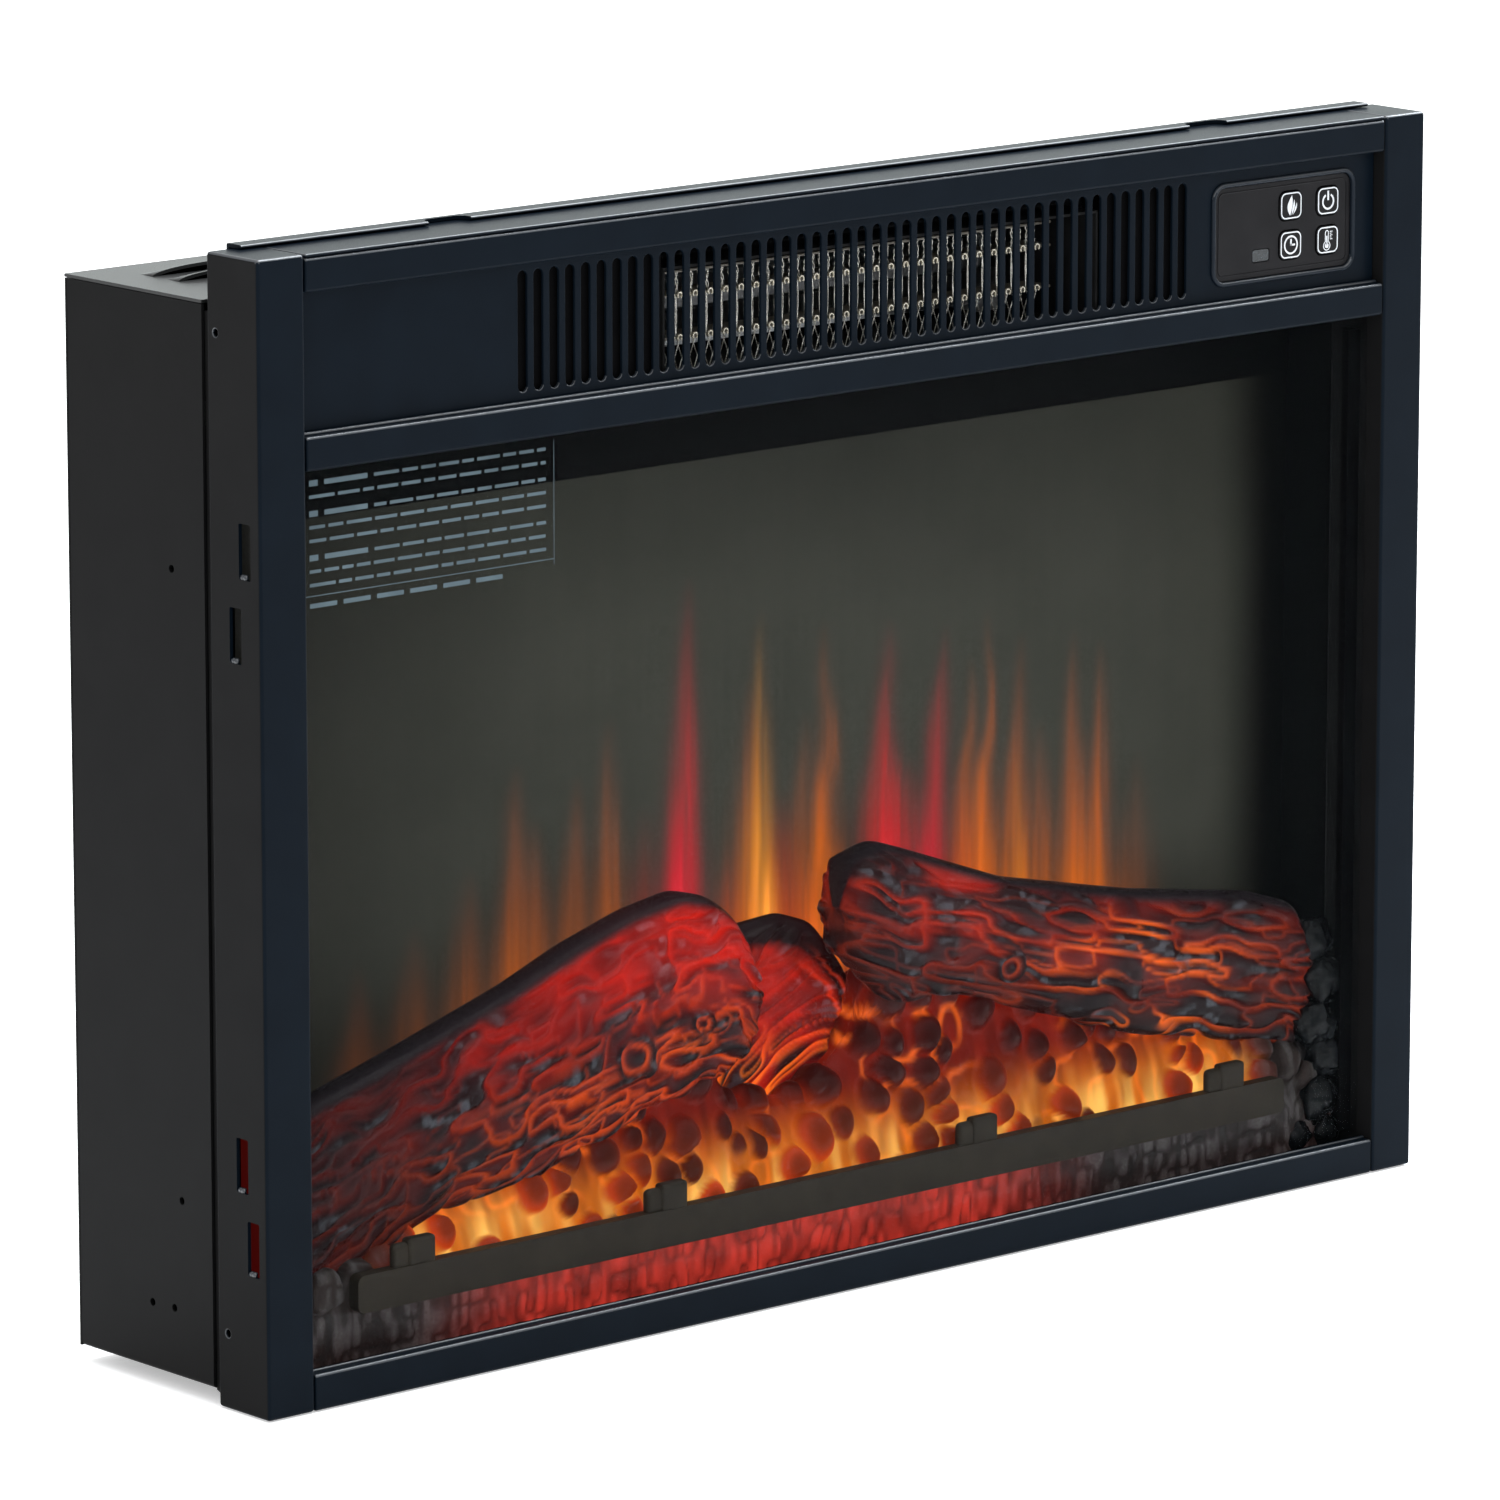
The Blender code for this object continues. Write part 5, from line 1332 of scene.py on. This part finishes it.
def build_logs():
    """Left, right and short middle log, each from its top and bottom line in the photo's proportions."""
    tops = [(-264, 101), (-246, 108), (-201, 121), (-153, 136), (-125, 147), (-95, 156), (-71, 160),
            (-56, 156), (-41, 146), (-30, 134)]
    bottoms = [(-264, 28), (-246, 33), (-187, 56), (-144, 62), (-85, 77), (-31, 90)]
    build_log("log_left", tops, bottoms, (-264, -31), (4, 22), left_colours, 100,
              knots=[(-99, 103, 11), (-66, 110, 6)])
    tops = [(12, 160), (30, 165), (45, 160), (97, 141), (166, 126), (229, 116), (254, 108), (262, 100)]
    bottoms = [(12, 124), (35, 101), (71, 99), (118, 84), (172, 68), (248, 52), (262, 56)]
    build_log("log_right", tops, bottoms, (12, 260), (6, 12), right_colours, 200, knots=[(92, 108, 7)],
              length=32.0)
    tops = [(-48, 70), (-40, 110), (-30, 136), (-2, 138), (15, 132), (33, 110), (40, 80)]
    bottoms = [(-48, 60), (-30, 54), (0, 54), (28, 56), (40, 70)]
    build_log("log_middle", tops, bottoms, (-48, 39), (8, 8), stub_colours, 300, length=26.0, columns=210,
              rows=300, slant=0.55)


# ---------------------------------------------------------------- embers, charcoal and grate

EMBER_TOPS = [(-266, 34), (-246, 44), (-216, 56), (-194, 64), (-148, 70), (-90, 84), (-50, 96), (-46, 76),
              (0, 72), (24, 92), (30, 118), (40, 112), (71, 106), (118, 92), (172, 76), (248, 60), (266, 60)]


EMBER_REACH, EMBER_FOOT, EMBER_FACE, BEHIND_GRATE = 266, 9.8, 42, 18.7


def ember_section(top):
    """(depth, z) line over the ember bed, from its skirt up over the top to its back."""
    rise = top - EMBER_FACE
    return [(19.6, EMBER_FOOT), (19.4, 20), (19.6, 33), (22.0, EMBER_FACE), (26.0, EMBER_FACE + 0.45 * rise),
            (32.0, EMBER_FACE + 0.85 * rise), (38.0, top), (47.0, top - 4), (54.0, top - 16),
            (55.0, EMBER_FOOT)]


def build_embers():
    """Moulded ember bed: glowing between rounded coals, with a dripping skirt below the grate."""
    columns, rows = 640, 130
    x = np.linspace(-EMBER_REACH, EMBER_REACH, columns)
    share = np.linspace(0, 1, rows) ** 1.15
    lines = []
    for top in smooth_line(EMBER_TOPS, x, 5.0):
        path = np.array(ember_section(top))
        length = np.concatenate([[0], np.cumsum(np.hypot(*np.diff(path, axis=0).T))])
        lines.append([np.interp(share * length[-1], length, path[:, axis]) for axis in (0, 1)])
    d, z = np.array(lines).transpose(1, 0, 2)
    grid_x = np.repeat(x[:, None], rows, 1)
    slope_d, slope_z = np.gradient(d, axis=1), np.gradient(z, axis=1)
    size = np.maximum(np.hypot(slope_d, slope_z), 1e-6)
    normal = np.stack([0 * d, -slope_z / size, slope_d / size], -1)
    skirt, low = ease(z, 34, 27), ease(z, 76, 48)
    sway = 2.5 * soft_noise(np.stack([grid_x / 14, z / 14, d / 14], -1), 53)
    first, second, mark = pebbles(np.stack([(grid_x + sway) / 14.5, z / 15.5, d / 60], -1), 41)
    radius = 0.32 + 0.34 * mark + 0.05 * (1 - low)
    coal = np.sqrt(np.clip(1 - (first / radius) ** 2, 0, 1)) * ease(second - first, 0.0, 0.22)
    coal = coal * ease(mark, 0.12 * low, 0.12 * low + 0.1)
    drips = front_noise(grid_x + 1.6 * front_noise(grid_x, z, 9, 12, 49), z, 4.6, 8.5, 43)
    # drip is highest in the creases between the drips, where the colours take painted shade
    drip = 1 - np.sqrt(np.clip(np.abs(drips) / 0.5, 0, 1))
    rough = soft_noise(np.stack([grid_x / 3, z / 3, d / 3], -1), 51)
    coals, drops = 6.0 * coal * (0.7 + 0.4 * mark) - 2.0, 0.9 * np.sqrt(np.abs(drips)) - 0.3
    lift = (1 - skirt) * coals + skirt * drops + 0.25 * rough
    points = np.stack([grid_x, d, z], -1) + scaled(normal, lift)
    points[..., 1] = np.maximum(points[..., 1], BEHIND_GRATE)
    glow, tone = ember_colours(grid_x, z, coal, mark, drip, skirt, low)
    piece("ember_bed_coals", points, sheet_faces(columns, rows), "ember_resin", replaces=["ember_bed"],
          smooth=180, colours={"tone": tone, "glow": glow})


def crease_light(x, z):
    """Brighter veins winding between the coals."""
    warp = 3.0 * front_noise(x, z, 18, 18, 57)
    field = front_noise(x + warp, z - warp, 9, 12, 58)
    return crease(field, x, z, 1.5) * ease(front_noise(x, z, 15, 15, 59), -0.5, 0.3)


def ember_colours(x, z, coal, mark, drip, skirt, low):
    """Yellow near the grate and in the gaps, red higher up, grey at both ends, with painted shade in the
    creases between the skirt's drips.
    """
    lit = ease(x, -232, -200) * ease(x, 240, 214)
    flicker = patchy(x, z, 20, 26, 90)
    flow = 0.5 + 0.5 * front_noise(x, z, 5, 22, 93)
    folds = 0.5 + 0.5 * front_noise(x, z, 3.2, 12, 95)
    fire = blended((0.70, 0.026, 0.006), (1.15, 0.26, 0.012), low)
    fire = blended(fire, (1.90, 1.05, 0.22), ease(z, 66, 42) * ease(0.5 * flicker + 0.6 * flow, 0.3, 0.95))
    fire = scaled(fire, (0.42 + 0.58 * low) * (0.55 + 0.45 * flicker) * (0.55 + 0.45 * folds))
    fire = fire + scaled((0.75, 0.13, 0.010), crease_light(x, z) * (1 - 0.6 * low))
    core = blended((0.055, 0.003, 0.002), (0.50, 0.040, 0.004), low * ease(mark + flicker, 0.6, 1.4))
    core = scaled(core, 1.15 - 0.75 * ease(coal, 0.6, 1.0))
    beds = scaled(blended(fire, core, ease(coal, 0.08, 0.62)), lit)
    red_zone = ease(x, -215, -140) * ease(x, 150, 60)
    streak = 0.5 + 0.5 * front_noise(x, z, 2.6, 9, 97)
    skirts = blended((0.050, 0.012, 0.008), (0.66, 0.040, 0.024), red_zone)
    # darker where the drips meet: painted shade in the creases
    skirts = scaled(skirts, (1 - 0.75 * drip) * (0.35 + 0.65 * streak) * (0.35 + 0.65 * red_zone))
    warm = blended((0.014, 0.004, 0.003), (0.05, 0.012, 0.004), low)
    # the grey ends also darken in those creases: painted shade
    grey = scaled((0.062, 0.066, 0.066), 0.45 + 1.1 * ease(streak - drip, 0.1, 0.8))
    tone = blended(warm, blended(grey, (0.06, 0.020, 0.016), red_zone), skirt)
    tone = scaled(tone, 0.25 + 0.75 * lit) + scaled(grey, 0.6 * (1 - lit))
    return blended(beds, skirts, skirt), tone


def lump(centre, size, seed, steps=28):
    """Rounded broken lump as points and faces."""
    rows, columns = steps, 2 * steps
    polar = np.linspace(0.06, math.pi - 0.06, rows)[:, None]
    around = (TWO_PI * np.arange(columns) / columns)[None, :]
    direction = np.stack([np.sin(polar) * np.cos(around), np.sin(polar) * np.sin(around),
                          np.cos(polar) + 0 * around], -1)
    swell = 1 + 0.20 * soft_noise(direction * 1.6 + seed, seed)
    swell = swell + 0.09 * soft_noise(direction * 4 + seed, seed + 1)
    points = np.asarray(centre) + scaled(direction, swell) * np.asarray(size)
    return points.reshape(-1, 3), tube_faces(rows, columns)


def build_charcoal():
    """Dark glassy lumps stacked at the right end of the chamber, (x, depth, z, size) each."""
    spots = [(261, 26, 93, 9), (263, 21, 77, 9), (258, 22, 60, 9.5), (264, 21, 45, 9), (259, 21, 29, 9.5),
             (264, 21, 15, 7), (249, 22, 15, 6.5)]
    lumps = [lump((x, depth, z), (size, size * 0.8, size * 1.05), 11 + number)
             for number, (x, depth, z, size) in enumerate(spots)]
    piece("charcoal_lumps", *joined(lumps), "clear_resin", slot="log_resin", smooth=180)


def build_grate():
    """Rounded cast bar with four raised lugs, each with a softer block beside it."""
    x, depth, z = extent("grate_bar")
    low, high = z[0], z[0] + 14.5
    outline = rounded((middle(x), (low + high) / 2), (x[1] - x[0], high - low), 3.2, 5)
    cast = piece("grate_bar_cast", *prism(outline, *depth, "depth"), "grate_iron", replaces=["grate_bar"])
    even_shading(bevelled(cast, 1.6))
    for number, centre in enumerate((-211, -88, 71, 204)):
        lug = block(f"grate_lug_{number}", (centre - 4.5, centre + 8.5), (depth[0] + 0.3, depth[1]),
                    (high - 4, z[1]), "grate_iron")
        even_shading(bevelled(lug, 1.4))
        stop = block(f"grate_stop_{number}", (centre - 11, centre - 3), (depth[0] + 1.0, depth[1] - 0.4),
                     (high - 4, z[1] - 1.2), "grate_iron")
        even_shading(bevelled(stop, 2.2))


# ---------------------------------------------------------------- heater

BOARDS = ("mica_board_top", "mica_board_middle", "mica_board_bottom")
WIRE_PITCH, WIRE_DEPTH, WIRE_STEPS = 3.77, 25.0, 12


def wire(x, depth, start, end, radius):
    """Wire that runs down from one level to another, with x given at each step."""
    steps = np.linspace(0, 1, WIRE_STEPS)
    return tube(np.stack([x, np.full(WIRE_STEPS, depth), start + (end - start) * steps], -1), radius, 6)


def build_heater():
    """Mica boards with crimps and the wires strung between them."""
    x, depth, _ = extent(BOARDS[0])
    levels = [middle(extent(node)[2]) for node in BOARDS]
    floor = extent("heater_duct")[2][0] + CASE_SHEET
    starts = [x[0] + 5 + WIRE_PITCH * number for number in range(int((x[1] - x[0] - 8) / WIRE_PITCH))]
    for node in BOARDS:
        even_shading(bevelled(block(node + "_plate", *extent(node), "mica", replaces=[node]), 0.25, 2))
    steps = np.linspace(0, 1, WIRE_STEPS)
    wires = []
    for number, at in enumerate(starts):
        jitter = 0.5 * (scatter(np.array([number, 1, 0]), 3) - 0.5)
        for offset, phase in ((0.0, 0.0), (1.5, 1.9)):
            wave = 0.55 * np.sin(steps * TWO_PI * 1.5 + phase + number)
            wires.append(wire(at + offset + wave + jitter, WIRE_DEPTH + offset, levels[0], levels[1], 0.21))
            bow = 0.35 * np.sin(steps * math.pi) * (1 if offset else -1)
            wires.append(wire(at + offset * 0.8 + bow, WIRE_DEPTH + offset, levels[1], levels[2], 0.19))
        for side in (-1, 1):
            slanted = at + side * (steps - 0.5) * 5.0
            wires.append(wire(slanted, WIRE_DEPTH + 1 + 0.6 * side, levels[2], floor, 0.20))
    piece("heater_wires", *joined(wires), "heating_ribbon", smooth=60,
          replaces=["heating_ribbon_upper", "heating_ribbon_lower"])
    angle = np.linspace(-0.3 * math.pi, 1.3 * math.pi, 12)
    crimps = [tube(np.stack([at + 0.75 + 1.1 * np.cos(angle), np.full(12, depth[0] - 0.3),
                             level + 1.15 * np.sin(angle)], -1), 0.42, 6)
              for at in starts for level in levels[1:]]
    piece("heater_crimps", *joined(crimps), "crimp_brass", slot="heating_ribbon", smooth=60)


# ---------------------------------------------------------------- carried-over CAD nodes

def dress_frame_nodes():
    """Each CAD node that stays in view takes the finish of its slot."""
    for part in frame["record"]["subparts"]:
        node = frame["nodes"][part["node"]]
        # the heater duct takes the near-black steel instead of its slot's finish: painted shade
        look = "duct_steel" if part["node"] == "heater_duct" else part["material_slot"]
        node.data.materials.clear()
        node.data.materials.append(MATERIALS[look])


# ---------------------------------------------------------------- assembly

bpy.context.scene.view_settings.view_transform = "Standard"
build_camera()
build_stage()
build_lights()
dress_frame_nodes()
build_stile("frame_stile_left", -1)
build_stile("frame_stile_right", 1)
build_rails()
build_trim_strip()
build_grille()
build_controls()
build_case()
build_label()
build_screen()
build_logs()
build_embers()
build_charcoal()
build_grate()
build_heater()
